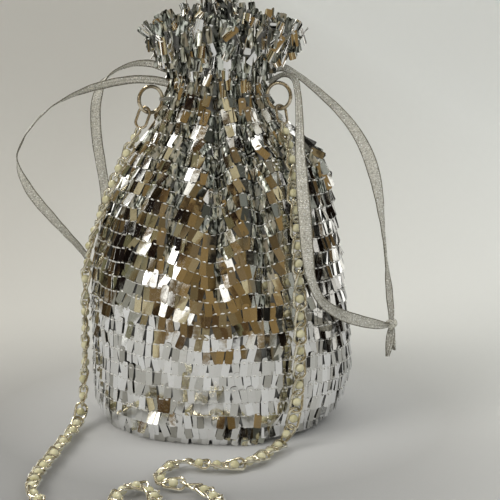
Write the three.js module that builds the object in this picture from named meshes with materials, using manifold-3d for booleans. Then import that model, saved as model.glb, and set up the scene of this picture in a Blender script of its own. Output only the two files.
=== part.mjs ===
// A drawstring purse: a pouch of sequined cloth that two ribbon drawstrings gather at the neck into a
// ruffle, with a beaded chain strap that hangs from a ring on each side and lies on the ground in front.
// Millimetres, +Z up. The origin is the middle of the flat base, and -Y is the front.
import * as THREE from "three";
import { mergeVertices } from "three/addons/utils/BufferGeometryUtils.js";
import Module from "manifold-3d";

// Pouch cloth, measured over its sewn backing
const WALL = 2.2;
const BASE_THICKNESS = 3;
const NECK_HEIGHT = 193;
const RIM_HEIGHT = 227;
const SIDE_DROOP = 8; // how much lower the ruffle's edge hangs at the sides than at the front
const LOBE_DROOP = 5; // how much lower a ruffle lobe's edge hangs than the valley beside it
const BACK_RISE = 6; // how much higher the ruffle's edge stands at the back
const RIDGE_FLATNESS = 2.6; // 2 gives round ridges, more gives flat ridges and narrow valleys
const SHOULDER_DROP = 32; // distance below the neck at which a fold is deepest
const STEEPEST_WALL = 2; // largest growth of the radial thickness on a fold's flank
const TURN = 360; // degrees round the pouch
const FOLD_STATIONS = [0, 0.14, 0.36, 0.64, 0.86]; // places of the columns between two valleys

// Half extents of the pouch from its axis over the ridges of its folds, from the base to the ruffle's edge
const SECTIONS = [
  { z: 0, left: 60, right: 47, front: 51, back: 52 },
  { z: BASE_THICKNESS, left: 64, right: 53, front: 56, back: 56 },
  { z: 11, left: 67.5, right: 63, front: 62, back: 61 },
  { z: 28, left: 68.5, right: 71, front: 66, back: 65 },
  { z: 50, left: 69, right: 70, front: 67, back: 65 },
  { z: 72, left: 69, right: 67.5, front: 66, back: 64 },
  { z: 92, left: 67, right: 65, front: 64, back: 62 },
  { z: 110, left: 63, right: 62.5, front: 60, back: 58.5 },
  { z: 126, left: 57, right: 60.5, front: 55.5, back: 54 },
  { z: 140, left: 50.5, right: 58, front: 50, back: 48 },
  { z: 152, left: 44.5, right: 53, front: 44.5, back: 43 },
  { z: 163, left: 38.5, right: 42, front: 38.5, back: 37 },
  { z: 174, left: 33, right: 31, front: 33, back: 32 },
  { z: 184, left: 29, right: 27, front: 29, back: 28 },
  { z: NECK_HEIGHT, left: 27.5, right: 25.5, front: 27, back: 26 },
  { z: 200, left: 30, right: 30, front: 29.5, back: 28.5 },
  { z: 209, left: 36.5, right: 40, front: 36, back: 34 },
  { z: 218, left: 41, right: 46, front: 40.5, back: 38.5 },
  { z: RIM_HEIGHT, left: 42.5, right: 48, front: 41.5, back: 39.5 },
];

// Fold valleys in degrees from the front towards +X: their depth at the neck, on the shoulder and at the
// ruffle's edge, and how far they run down from the neck
const FOLDS = [
  { azimuth: -168, neck: 5, shoulder: 8, rim: 10, reach: 105 },
  { azimuth: -143, neck: 5.5, shoulder: 9, rim: 11, reach: 120 },
  { azimuth: -117, neck: 5, shoulder: 8, rim: 10, reach: 95 },
  { azimuth: -90, neck: 5, shoulder: 8, rim: 10, reach: 105 },
  { azimuth: -70, neck: 4.5, shoulder: 7.5, rim: 10, reach: 110 },
  { azimuth: -49, neck: 5, shoulder: 8, rim: 11, reach: 95 },
  { azimuth: -27, neck: 5, shoulder: 9, rim: 11, reach: 125 },
  { azimuth: -1, neck: 5.5, shoulder: 10.5, rim: 12, reach: 135 },
  { azimuth: 23, neck: 5.5, shoulder: 10, rim: 11, reach: 150 },
  { azimuth: 46, neck: 5, shoulder: 8, rim: 10, reach: 110 },
  { azimuth: 68, neck: 4.5, shoulder: 7.5, rim: 10, reach: 95 },
  { azimuth: 92, neck: 5, shoulder: 8, rim: 11, reach: 110 },
  { azimuth: 117, neck: 5, shoulder: 8.5, rim: 10, reach: 100 },
  { azimuth: 142, neck: 5.5, shoulder: 9, rim: 11, reach: 115 },
  { azimuth: 167, neck: 5, shoulder: 8, rim: 10, reach: 100 },
];

// Ribbon drawstrings
const RIBBON_WIDTH = 7;
const RIBBON_THICKNESS = 1.2;
const RIBBON_STEPS = 26;

// Each strand's route from the neck to its knot, with the direction that its width lies along
const RIBBONS = {
  ribbon_left_upper: [
    { at: [-26.6, 0, 195.6], across: [0, -0.05, 1] },
    { at: [-38.7, 1, 199.2], across: [0, -0.5, 1] },
    { at: [-48.6, 2, 198.1], across: [0.2, -0.9, 0.6] },
    { at: [-56.4, 3.5, 194.8], across: [0.4, -0.9, 0.4] },
    { at: [-62.7, 5, 189.7], across: [0.6, -0.8, 0.4] },
    { at: [-67, 8, 181.2], across: [0.9, -0.5, 0.3] },
    { at: [-68.8, 11, 171.5], across: [1, -0.3, 0] },
    { at: [-68.6, 15, 155.3], across: [1, -0.2, 0] },
    { at: [-67, 19, 140.5], across: [1, -0.2, 0] },
    { at: [-65.5, 24, 125.5], across: [1, -0.3, 0] },
    { at: [-65.5, 29, 110], across: [1, -0.5, 0] },
    { at: [-68.5, 32, 93], across: [0.8, -0.7, 0] },
    { at: [-71.8, 32.4, 82.1], across: [0.6, -0.8, 0] },
  ],
  ribbon_left_lower: [
    { at: [-25.2, 0, 188], across: [0, -0.1, 1] },
    { at: [-37, 0, 190.2], across: [0, -0.2, 1] },
    { at: [-48.6, 0, 190.2], across: [0, -0.4, 1] },
    { at: [-65.1, 0, 187], across: [0.2, -0.6, 0.8] },
    { at: [-78.9, 0, 182.3], across: [0.3, -0.8, 0.5] },
    { at: [-93, 2, 174.7], across: [0.2, -1, 0.2] },
    { at: [-104.5, 4, 163.4], across: [0.1, -1, 0] },
    { at: [-111.2, 6, 152.1], across: [0, -1, 0] },
    { at: [-112.8, 8, 145.1], across: [0.2, -1, 0] },
    { at: [-110.6, 10, 135.7], across: [0.6, -0.8, 0.3] },
    { at: [-105.1, 13, 124.4], across: [0.8, -0.5, 0.5] },
    { at: [-96.4, 17, 112.2], across: [0.7, -0.4, 0.6] },
    { at: [-86.9, 22, 99.8], across: [0.7, -0.5, 0.6] },
    { at: [-79, 28, 88.6], across: [0.6, -0.7, 0.5] },
    { at: [-75.2, 31, 80.8], across: [0.5, -0.8, 0.3] },
  ],
  ribbon_right_outer: [
    { at: [25.6, 0.9, 195.4], across: [0, 0.05, 1] },
    { at: [35.1, 1.5, 196.6], across: [0, 0.5, 1] },
    { at: [44.4, 0.5, 191.6], across: [0.3, 0.7, 0.8] },
    { at: [55.3, -1.5, 183], across: [0.4, 0.6, 0.7] },
    { at: [66.3, -4, 172.9], across: [0.6, 0.4, 0.7] },
    { at: [75, -7, 162.1], across: [0.8, 0.1, 0.6] },
    { at: [81.6, -9, 149.6], across: [0.9, 0, 0.4] },
    { at: [86.5, -12, 133.4], across: [0.9, 0.4, 0.2] },
    { at: [89.2, -16, 114.6], across: [0.6, 0.8, 0.1] },
    { at: [91.3, -20, 93], across: [0.4, 0.9, 0.1] },
    { at: [92.9, -23, 76.8], across: [0.8, 0.6, 0] },
    { at: [94.2, -24.9, 62.6], across: [0.9, 0.3, 0] },
  ],
  ribbon_right_front: [
    { at: [27.2, -3.8, 189], across: [0.1, 0.1, 1] },
    { at: [35.2, -10.5, 193.8], across: [0.3, 0.5, 0.8] },
    { at: [40.4, -20.5, 192.2], across: [0.7, 0.2, 0.6] },
    { at: [41.8, -29, 185.2], across: [0.9, -0.1, 0.4] },
    { at: [42.2, -36, 175.2], across: [1, -0.1, 0.1] },
    { at: [42.2, -46, 157.4], across: [1, -0.1, 0] },
    { at: [42.9, -55, 140.2], across: [1, 0, 0] },
    { at: [44.2, -61, 122.8], across: [1, 0.1, 0] },
    { at: [45.2, -65, 107.7], across: [1, 0.2, 0.1] },
    { at: [47.5, -67, 92.4], across: [0.8, 0.5, 0.3] },
    { at: [52.6, -65, 81.2], across: [0.5, 0.5, 0.7] },
    { at: [62.4, -55.5, 72], across: [0.3, 0.1, 0.9] },
    { at: [74.2, -43.5, 65], across: [0.2, 0, 1] },
    { at: [84.5, -34, 60.4], across: [0.2, 0, 1] },
    { at: [90.6, -28.2, 58.2], across: [0.1, 0, 1] },
  ],
};

// Knots that close the two drawstring loops: a wrapped core with the ribbon's two tails below it
const KNOT_HALF = { across: 4, deep: 3.2, high: 4.2 };
const KNOT_WRAP = { radius: 3, thickness: 1.4, tilt: 25 };
const TAIL_SPREAD = 2.2;
const TAIL_START_DROP = 1;
const TAIL_STEPS = 6;
const KNOT_SIDES = { around: 12, down: 8, wrap: 6 };
const KNOTS = [
  { name: "knot_left", at: [-72.3, 32.5, 77.4], turn: -40, tails: [19, 15] },
  { name: "knot_right", at: [94.4, -25, 58], turn: 10, tails: [18, 15] },
];

// Rings, links and thread loops that hang the chain on the pouch
const RING_RADIUS = 7;
const RING_WIRE = 1;
const RING_SIDES = { around: 16, wire: 6 };
const LINK_LENGTH = 13;
const LINK_WIDTH = 8;
const LINK_WIRE = 0.8;
const LINK_SIDES = { around: 12, wire: 6 };
const LOOP_THREAD = 0.7;
const LOOP_SIDES = 8;
const LOOP_STEPS = 10;
const GAP = 0.3;
const HANGERS = [
  { side: "left", ring: [-36.5, -21.1, 181.5], hangAngle: 60, linkUp: [0.35, 0, 0.94], linkTurn: 35 },
  { side: "right", ring: [32.2, -17.1, 183], hangAngle: 80, linkUp: [-0.1, 0.6, 0.79], linkTurn: -35 },
];

// Chain strap: the outer form of its links, in two stretches that meet in front of the pouch
const CHAIN_RADIUS = 4;
const CHAIN_SIDES = 8;
const CHAIN_STEPS = 52;
const LYING = 4.2; // height of the chain's middle where it lies on the ground
const CHAINS = {
  chain_left: [
    [-43.2, -22.85, 165.4],
    [-49.2, -22.3, 153.5],
    [-55, -21, 142],
    [-61, -19, 128],
    [-66.7, -17, 114],
    [-71.2, -15, 100],
    [-73.8, -14, 84],
    [-74.8, -13, 67],
    [-75.2, -14, 45],
    [-76, -17, 25],
    [-77, -23, 11],
    [-79, -35, 4.6],
    [-83, -60, LYING],
    [-87.5, -88, LYING],
    [-91, -110, LYING],
    [-91.3, -129, LYING],
    [-85, -149, LYING],
    [-74, -162, LYING],
    [-60, -162, LYING],
    [-51, -150, LYING],
    [-48, -136, LYING],
    [-41.5, -128, LYING],
    [-34, -135, LYING],
    [-30.5, -148, LYING],
    [-25.5, -160, LYING],
    [-19, -168, LYING],
    [-14, -168.5, LYING],
  ],
  chain_right: [
    [34.4, -23.9, 167.9],
    [36, -29.5, 162.5],
    [37.5, -36.5, 155.5],
    [38.4, -43, 147],
    [38.7, -48.5, 135],
    [39.5, -51.5, 126],
    [40.5, -54.5, 114.3],
    [41, -57, 104],
    [41.5, -60, 90],
    [42, -61.5, 70],
    [42, -62, 54],
    [41.6, -62, 37.4],
    [40.1, -62.5, 23.6],
    [37.5, -63.5, 12.5],
    [33, -67.5, 5.4],
    [27.5, -76.5, LYING],
    [19, -90, LYING],
    [5.5, -100, LYING],
    [-8.5, -98, LYING],
    [-19, -95, LYING],
    [-26.5, -103, LYING],
    [-30, -114, LYING],
    [-27, -124, LYING],
    [-16, -127, LYING],
    [-7, -136, LYING],
    [-1.5, -149, LYING],
    [-2.5, -160, LYING],
    [-8.5, -168, LYING],
    [-13.1, -168.5, LYING],
  ],
};

// Colours
const clothSilver = new THREE.MeshStandardMaterial({ color: 0xb9b6ae, roughness: 0.25, metalness: 0.9 });
const ribbonSilver = new THREE.MeshStandardMaterial({ color: 0xc9c7c0, roughness: 0.45, metalness: 0.5 });
const warmNickel = new THREE.MeshStandardMaterial({ color: 0xb8ab93, roughness: 0.25, metalness: 1 });
const sewingThread = new THREE.MeshStandardMaterial({ color: 0xd9d7d2, roughness: 0.7, metalness: 0 });

const wasm = await Module();
wasm.setup();

// Small helpers

function vector(list) {
  return new THREE.Vector3(...list);
}

function smoothStep(share) {
  return THREE.MathUtils.smoothstep(share, 0, 1);
}

// Horizontal direction of an azimuth
function outward(azimuth) {
  const angle = THREE.MathUtils.degToRad(azimuth);
  return new THREE.Vector3(Math.sin(angle), -Math.cos(angle), 0);
}

// Geometry with its vertices shared, made from a list of points and a list of triangles
function meshOf(points, triangles) {
  const geometry = new THREE.BufferGeometry().setFromPoints(points);
  geometry.setIndex(triangles);
  return geometry;
}

// A closed skin over rings of equal numbers of points, each ring anticlockwise seen against the travel
function skinOver(rings, capStart, capEnd) {
  const count = rings[0].length;
  const points = rings.flat();
  const triangles = [];
  for (let ring = 0; ring + 1 < rings.length; ring += 1) {
    for (let i = 0; i < count; i += 1) {
      const next = (i + 1) % count;
      const a = ring * count + i;
      const b = ring * count + next;
      triangles.push(a, b, b + count, a, b + count, a + count);
    }
  }
  const last = (rings.length - 1) * count;
  points.push(capStart, capEnd);
  for (let i = 0; i < count; i += 1) {
    const next = (i + 1) % count;
    triangles.push(points.length - 2, next, i);
    triangles.push(points.length - 1, last + i, last + next);
  }
  return meshOf(points, triangles);
}

function solidOf(geometry) {
  const bare = geometry.clone();
  bare.deleteAttribute("normal");
  bare.deleteAttribute("uv");
  const merged = mergeVertices(bare);
  const mesh = new wasm.Mesh({
    numProp: 3,
    vertProperties: new Float32Array(merged.attributes.position.array),
    triVerts: new Uint32Array(merged.index.array),
  });
  return new wasm.Manifold(mesh);
}

function joined(geometries) {
  const whole = geometries.map(solidOf).reduce((sum, piece) => sum.add(piece));
  const mesh = whole.getMesh();
  const geometry = new THREE.BufferGeometry();
  geometry.setAttribute("position", new THREE.BufferAttribute(mesh.vertProperties, 3));
  geometry.setIndex(new THREE.BufferAttribute(mesh.triVerts, 1));
  return geometry;
}

function named(name, geometry, material) {
  const mesh = new THREE.Mesh(geometry, material);
  mesh.name = name;
  return mesh;
}

// Pouch

// Half extents at a height, between the two nearest rows of the table
function sectionAt(z) {
  const upper = Math.max(1, SECTIONS.findIndex((row) => row.z >= z));
  const [low, high] = [SECTIONS[upper - 1], SECTIONS[upper]];
  const share = (z - low.z) / (high.z - low.z);
  const between = (side) => THREE.MathUtils.lerp(low[side], high[side], share);
  return { left: between("left"), right: between("right"), front: between("front"), back: between("back") };
}

// Radius over the ridges: a quarter of an ellipse in each quadrant
function ridgeRadius(section, direction) {
  const across = direction.x > 0 ? section.right : section.left;
  const along = direction.y < 0 ? section.front : section.back;
  return 1 / Math.hypot(direction.x / across, direction.y / along);
}

// The two valleys on either side of an azimuth, and the share of the way between them
function foldAt(azimuth) {
  const first = FOLDS[0].azimuth;
  const wrapped = first + THREE.MathUtils.euclideanModulo(azimuth - first, TURN);
  const after = FOLDS.findIndex((fold) => fold.azimuth > wrapped);
  const index = after < 0 ? FOLDS.length - 1 : after - 1;
  const start = FOLDS[index];
  const end = FOLDS[(index + 1) % FOLDS.length];
  const span = THREE.MathUtils.euclideanModulo(end.azimuth - start.azimuth, TURN);
  return { start, end, share: (wrapped - start.azimuth) / span };
}

// Depth of one valley at a height
function valleyDepth(fold, z) {
  if (z >= NECK_HEIGHT) {
    const up = smoothStep((z - NECK_HEIGHT) / (RIM_HEIGHT - NECK_HEIGHT));
    return THREE.MathUtils.lerp(fold.neck, fold.rim, up);
  }
  const down = NECK_HEIGHT - z;
  if (down < SHOULDER_DROP) {
    return THREE.MathUtils.lerp(fold.neck, fold.shoulder, down / SHOULDER_DROP);
  }
  return fold.shoulder * (1 - smoothStep((down - SHOULDER_DROP) / (fold.reach - SHOULDER_DROP)));
}

// Height of the swell between two valleys, from 0 in a valley to 1 on the ridge
function swell(share) {
  return 1 - Math.abs(2 * share - 1) ** RIDGE_FLATNESS;
}

function outerRadius(azimuth, z) {
  const { start, end, share } = foldAt(azimuth);
  const depth = THREE.MathUtils.lerp(valleyDepth(start, z), valleyDepth(end, z), share);
  return ridgeRadius(sectionAt(z), outward(azimuth)) - depth * (1 - swell(share));
}

// Radius of the inner face: the radial thickness grows on a fold's flank so that the wall stays even
function innerRadius(azimuth, z) {
  const step = 1;
  const radius = outerRadius(azimuth, z);
  const rise = outerRadius(azimuth + step, z) - outerRadius(azimuth - step, z);
  const slope = rise / (THREE.MathUtils.degToRad(2 * step) * radius);
  return radius - WALL * Math.min(STEEPEST_WALL, Math.hypot(1, slope));
}

// Height of a column's point on a section: the ruffle droops at the sides and on its lobes
function droopedHeight(azimuth, z) {
  const up = THREE.MathUtils.clamp((z - NECK_HEIGHT) / (RIM_HEIGHT - NECK_HEIGHT), 0, 1);
  const direction = outward(azimuth);
  const side = SIDE_DROOP * Math.abs(direction.x);
  const back = BACK_RISE * Math.max(0, direction.y);
  const lobe = LOBE_DROOP * swell(foldAt(azimuth).share);
  return z - up * up * (side + lobe - back);
}

function columnAzimuths() {
  return FOLDS.flatMap((fold, index) => {
    const next = FOLDS[(index + 1) % FOLDS.length];
    const span = THREE.MathUtils.euclideanModulo(next.azimuth - fold.azimuth, TURN);
    return FOLD_STATIONS.map((station) => fold.azimuth + station * span);
  });
}

function ringOfPouch(azimuths, z, radiusAt) {
  return azimuths.map((azimuth) => {
    const point = outward(azimuth).multiplyScalar(radiusAt(azimuth, z));
    point.z = droopedHeight(azimuth, z);
    return point;
  });
}

function pouchGeometry() {
  const azimuths = columnAzimuths();
  const heights = SECTIONS.map((row) => row.z);
  const outside = heights.map((z) => ringOfPouch(azimuths, z, outerRadius));
  const inside = heights.slice(1).map((z) => ringOfPouch(azimuths, z, innerRadius));
  const rings = [...outside, ...inside.reverse()];
  return skinOver(rings, new THREE.Vector3(), new THREE.Vector3(0, 0, BASE_THICKNESS));
}

// Ribbons

// Section of a flat ribbon: a rectangle with its corners cut
function ribbonSection() {
  const wide = RIBBON_WIDTH / 2;
  const thick = RIBBON_THICKNESS / 2;
  const cut = thick / 2;
  return [
    [wide, -cut],
    [wide, cut],
    [wide - cut, thick],
    [cut - wide, thick],
    [-wide, cut],
    [-wide, -cut],
    [cut - wide, -thick],
    [wide - cut, -thick],
  ];
}

// A flat strip along a smooth curve, turned so that its width follows the route's across directions
function stripGeometry(route, steps) {
  const path = new THREE.CatmullRomCurve3(route.map((row) => vector(row.at)));
  const widths = new THREE.CatmullRomCurve3(route.map((row) => vector(row.across).normalize()));
  const rings = [];
  const middles = [];
  for (let step = 0; step <= steps; step += 1) {
    const middle = path.getPoint(step / steps);
    const along = path.getTangent(step / steps);
    const face = new THREE.Vector3().crossVectors(along, widths.getPoint(step / steps)).normalize();
    const across = new THREE.Vector3().crossVectors(face, along);
    const ring = ribbonSection().map(([wide, thick]) =>
      middle.clone().addScaledVector(across, wide).addScaledVector(face, thick),
    );
    rings.push(ring);
    middles.push(middle);
  }
  return skinOver(rings, middles[0], middles[steps]);
}

function knotGeometry(knot) {
  const core = new THREE.SphereGeometry(1, KNOT_SIDES.around, KNOT_SIDES.down);
  core.scale(KNOT_HALF.across, KNOT_HALF.deep, KNOT_HALF.high);
  const wrap = new THREE.TorusGeometry(
    KNOT_WRAP.radius,
    KNOT_WRAP.thickness,
    KNOT_SIDES.wrap,
    KNOT_SIDES.around,
  );
  wrap.rotateY(THREE.MathUtils.degToRad(KNOT_WRAP.tilt));
  const tails = knot.tails.map((length, index) => {
    const side = index === 0 ? -1 : 1;
    const route = [
      { at: [0, 0, -TAIL_START_DROP], across: [1, 0, 0] },
      { at: [side, side, -length / 2], across: [1, side / 2, 0] },
      { at: [side * TAIL_SPREAD, side, -length], across: [1, side, 0] },
    ];
    return stripGeometry(route, TAIL_STEPS);
  });
  const whole = joined([core, wrap, ...tails]);
  whole.rotateZ(THREE.MathUtils.degToRad(knot.turn));
  return whole.translate(...knot.at);
}

// Rings, links and loops

// Rotation whose x, y and z axes are the given directions
function turnedTo(x, y, z) {
  return new THREE.Matrix4().makeBasis(x, y, z);
}

// The ring stands upright, in the plane of the axis and its own place
function ringGeometry(hanger) {
  const centre = vector(hanger.ring);
  const out = new THREE.Vector3(centre.x, centre.y, 0).normalize();
  const up = new THREE.Vector3(0, 0, 1);
  const ring = new THREE.TorusGeometry(RING_RADIUS, RING_WIRE, RING_SIDES.wire, RING_SIDES.around);
  ring.applyMatrix4(turnedTo(out, up, new THREE.Vector3().crossVectors(out, up)));
  return ring.translate(centre.x, centre.y, centre.z);
}

// An oval link along +X: a torus whose two halves are drawn apart
function ovalGeometry() {
  const bend = LINK_WIDTH / 2 - LINK_WIRE;
  const straight = (LINK_LENGTH - LINK_WIDTH) / 2;
  const link = new THREE.TorusGeometry(bend, LINK_WIRE, LINK_SIDES.wire, LINK_SIDES.around);
  link.rotateZ(Math.PI / LINK_SIDES.around);
  const places = link.attributes.position;
  for (let i = 0; i < places.count; i += 1) {
    places.setX(i, places.getX(i) + Math.sign(places.getX(i)) * straight);
  }
  return link;
}

// The link hangs from the ring's wire, clear of it by the gap
function linkGeometry(hanger) {
  const centre = vector(hanger.ring);
  const out = new THREE.Vector3(centre.x, centre.y, 0).normalize();
  const angle = THREE.MathUtils.degToRad(hanger.hangAngle);
  const wire = centre.clone().addScaledVector(out, RING_RADIUS * Math.cos(angle));
  wire.z -= RING_RADIUS * Math.sin(angle);
  const up = vector(hanger.linkUp).normalize();
  const hang = LINK_LENGTH / 2 - 2 * LINK_WIRE - RING_WIRE - GAP;
  const place = wire.addScaledVector(up, -hang);
  const flat = new THREE.Vector3().crossVectors(out, up).normalize();
  flat.applyAxisAngle(up, THREE.MathUtils.degToRad(hanger.linkTurn));
  const link = ovalGeometry();
  link.applyMatrix4(turnedTo(up, flat, new THREE.Vector3().crossVectors(up, flat)));
  return link.translate(place.x, place.y, place.z);
}

// Regular outline for a round tube
function roundShape(radius, sides) {
  const corners = [];
  for (let i = 0; i < sides; i += 1) {
    const angle = (2 * Math.PI * i) / sides;
    corners.push(new THREE.Vector2(radius * Math.cos(angle), radius * Math.sin(angle)));
  }
  return new THREE.Shape(corners);
}

function tubeGeometry(points, radius, sides, steps) {
  const extrudePath = new THREE.CatmullRomCurve3(points);
  return new THREE.ExtrudeGeometry(roundShape(radius, sides), { steps, extrudePath });
}

// A bight of thread from the cloth, round the ring's inner side and back
function loopGeometry(hanger) {
  const centre = vector(hanger.ring);
  const out = new THREE.Vector3(centre.x, centre.y, 0).normalize();
  const beside = new THREE.Vector3(-out.y, out.x, 0);
  const azimuth = THREE.MathUtils.radToDeg(Math.atan2(out.x, -out.y));
  const half = RING_WIRE + LOOP_THREAD + GAP;
  const wire = Math.hypot(centre.x, centre.y) - RING_RADIUS;
  const spread = THREE.MathUtils.radToDeg(half / outerRadius(azimuth, centre.z));
  const legs = [-1, 1].map((side) => outerRadius(azimuth + side * spread, centre.z) + LOOP_THREAD);
  const place = (reach, side) =>
    new THREE.Vector3(0, 0, centre.z).addScaledVector(out, reach).addScaledVector(beside, side * half);
  const points = [
    place(legs[0], -1),
    place((legs[0] + wire) / 2, -1),
    place(wire, -1),
    place(wire + half, 0),
    place(wire, 1),
    place((legs[1] + wire) / 2, 1),
    place(legs[1], 1),
  ];
  return tubeGeometry(points, LOOP_THREAD, LOOP_SIDES, LOOP_STEPS);
}

// Assembly
const purse = new THREE.Group();
purse.add(named("pouch", pouchGeometry(), clothSilver));
for (const [name, route] of Object.entries(RIBBONS)) {
  purse.add(named(name, stripGeometry(route, RIBBON_STEPS), ribbonSilver));
}
for (const knot of KNOTS) {
  purse.add(named(knot.name, knotGeometry(knot), ribbonSilver));
}
for (const hanger of HANGERS) {
  purse.add(named(`ring_${hanger.side}`, ringGeometry(hanger), warmNickel));
  purse.add(named(`link_${hanger.side}`, linkGeometry(hanger), warmNickel));
  purse.add(named(`ring_loop_${hanger.side}`, loopGeometry(hanger), sewingThread));
}
for (const [name, route] of Object.entries(CHAINS)) {
  const points = route.map((place) => vector(place));
  purse.add(named(name, tubeGeometry(points, CHAIN_RADIUS, CHAIN_SIDES, CHAIN_STEPS), warmNickel));
}

export default purse;
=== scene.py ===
import math

import bpy
import numpy as np
from mathutils.geometry import tessellate_polygon
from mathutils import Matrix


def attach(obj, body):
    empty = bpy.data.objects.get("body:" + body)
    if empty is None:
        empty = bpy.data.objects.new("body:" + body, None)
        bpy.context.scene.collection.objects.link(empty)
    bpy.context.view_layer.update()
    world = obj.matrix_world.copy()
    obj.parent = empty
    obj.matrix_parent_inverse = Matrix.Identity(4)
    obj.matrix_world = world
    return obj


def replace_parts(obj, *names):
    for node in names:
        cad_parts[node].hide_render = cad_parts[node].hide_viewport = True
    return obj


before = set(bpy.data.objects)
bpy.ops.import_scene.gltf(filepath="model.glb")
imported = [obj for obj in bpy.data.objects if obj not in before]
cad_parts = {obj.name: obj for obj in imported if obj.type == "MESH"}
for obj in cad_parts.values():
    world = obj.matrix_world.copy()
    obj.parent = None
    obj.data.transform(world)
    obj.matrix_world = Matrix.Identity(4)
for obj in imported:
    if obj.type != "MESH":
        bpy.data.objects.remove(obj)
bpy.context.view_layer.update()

MM = 0.001
BODY = "root"
rng = np.random.default_rng(41)


def table(columns, rows):
    """Columns of a table by their names."""
    return {name: np.array(values, float) for name, values in zip(columns.split(), zip(*rows))}


# Camera at the photograph's angle
CAMERA_PLACE = (0.0, -0.8, 0.258)
CAMERA_PITCH = 11.52
CAMERA_TURN = 1.22
CAMERA_LENS = 104.76
CAMERA_SENSOR = 36.0

# Pouch wall, as in the part's source: half extents in millimetres over the ridges of the folds
WALL = 1.6 * MM
INSET = 1.2 * MM  # the cloth lies this far inside the solid, so that the sequins end at its face
RUFFLE_INSET = 2.2 * MM  # and this much deeper in the ruffle, where the sequins stand out further
RUFFLE_INSET_PACE = 1.4  # that depth is reached this many times sooner than the rim
SIDE_FULLNESS = 2.8 * MM  # the filled sides swell out by this much
FULL_RISE = (4.0, 18.0)  # heights in millimetres over which the fullness sets in
FULL_FALL = (168.0, 138.0)  # and those over which it fades, from its end down
BASE_THICKNESS = 3.0
NECK_HEIGHT = 193.0
RIM_HEIGHT = 227.0
SIDE_DROOP = 8.0
LOBE_DROOP = 5.0
BACK_RISE = 6.0
RIDGE_FLATNESS = 2.6
SHOULDER_DROP = 32.0
SECTION = table("z left right front back", (
    (0, 60, 47, 51, 52),
    (3, 64, 53, 56, 56),
    (11, 67.5, 63, 62, 61),
    (28, 68.5, 71, 66, 65),
    (50, 69, 70, 67, 65),
    (72, 69, 67.5, 66, 64),
    (92, 67, 65, 64, 62),
    (110, 63, 62.5, 60, 58.5),
    (126, 57, 60.5, 55.5, 54),
    (140, 50.5, 58, 50, 48),
    (152, 44.5, 53, 44.5, 43),
    (163, 38.5, 42, 38.5, 37),
    (174, 33, 31, 33, 32),
    (184, 29, 27, 29, 28),
    (193, 27.5, 25.5, 27, 26),
    (200, 30, 30, 29.5, 28.5),
    (209, 36.5, 40, 36, 34),
    (218, 41, 46, 40.5, 38.5),
    (227, 42.5, 48, 41.5, 39.5),
))
FOLD = table("azimuth neck shoulder rim reach", (
    (-168, 5, 8, 10, 105),
    (-143, 5.5, 9, 11, 120),
    (-117, 5, 8, 10, 95),
    (-90, 5, 8, 10, 105),
    (-70, 4.5, 7.5, 10, 110),
    (-49, 5, 8, 11, 95),
    (-27, 5, 9, 11, 125),
    (-1, 5.5, 10.5, 12, 135),
    (23, 5.5, 10, 11, 150),
    (46, 5, 8, 10, 110),
    (68, 4.5, 7.5, 10, 95),
    (92, 5, 8, 11, 110),
    (117, 5, 8.5, 10, 100),
    (142, 5.5, 9, 11, 115),
    (167, 5, 8, 10, 100),
))
CLOTH_COLUMNS = 360
CLOTH_RINGS = 92
BASE_RINGS = (0.35, 0.7, 0.9)  # shares of the base's radius
BASE_EDGE = (0.0, 0.8, 1.8)  # heights of the rings round the base's edge

# Sequins: long plates with a hole near the top, sewn in rows
PLATE_WIDTH = 4.0 * MM
PLATE_LENGTH = 9.4 * MM
PLATE_THICKNESS = 0.18 * MM
PLATE_TOP_CORNER = 1.3 * MM
PLATE_TIP_CORNER = 0.5 * MM
PLATE_BENDS = ((0.0, 0.0), (0.015, 1.5), (-0.012, -2.5), (0.01, 3.5))  # millimetres across, twist per metre
CURVED_BENDS = ((0.34, 9.0), (-0.26, -12.0), (0.2, 16.0), (-0.3, 7.0))  # of crumpled and ruffle sequins
CURVED_FROM = 186 * MM  # above this height all sequins are curved
HOLE_RADIUS = 0.5 * MM
HOLE_FROM_TOP = 2.4 * MM
HOLE_SIDES = 6
ROW_PITCH = 7.6 * MM
ROW_PLATES = 108
FIRST_ROW = 9.0 * MM
LAST_ROW_MARGIN = 1.5 * MM
PLACE_SPREAD = 0.1  # of the distance between neighbours in a row
PLATE_LIFT = 0.6 * MM
LIFT_SPREAD = 0.45 * MM
RIDING_SHARE = 0.13  # of the plates ride over the tips of the row above
RIDING_LIFT = 0.8 * MM
SQUARE_TO_ROW = 0.85  # 1 hangs the plates square to a sloping row, 0 straight down the wall
OVERHANG_PULL = 1.1  # how soon plates under an overhang hang plumb
MOST_PLUMB = 0.75
GROUND_CLEARANCE = 0.3 * MM
ROW_COLUMNS = 760
ROW_LEVELS = 420

# How the plates lie, in degrees: heights in millimetres, then the mean lean and the spread of each turn
SPREAD = table("z lean tilt turn swing together", (
    (0, 5.0, 5.0, 6.0, 13.0, 0.0),
    (14, 3.5, 3.0, 5.0, 10.0, 0.0),
    (30, 2.5, 2.4, 4.5, 9.0, 0.0),
    (50, 1.0, 1.8, 4.0, 8.0, 0.0),
    (60, 2.0, 2.6, 4.0, 8.0, 0.0),
    (70, 4.5, 2.4, 4.0, 9.0, 0.0),
    (140, 4.5, 2.4, 4.0, 9.0, 0.0),
    (172, 4.5, 4.0, 7.0, 10.0, 0.2),
    (193, 5.0, 8.0, 22.0, 9.0, 0.7),
    (203, 8.0, 11.0, 26.0, 11.0, 1.0),
    (214, 8.0, 13.0, 30.0, 15.0, 1.0),
    (236, 6.0, 15.0, 32.0, 20.0, 1.0),
))
PLATE_TURNS = {"tilt": (3, 0.15), "turn": (4, 0.75), "swing": (5, 0.4)}  # neighbours alike, and how much
GROUP_SIZE = 6  # neighbouring plates that lie together in the ruffle, through all of its rows
GROUP_PULL = 0.75
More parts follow.
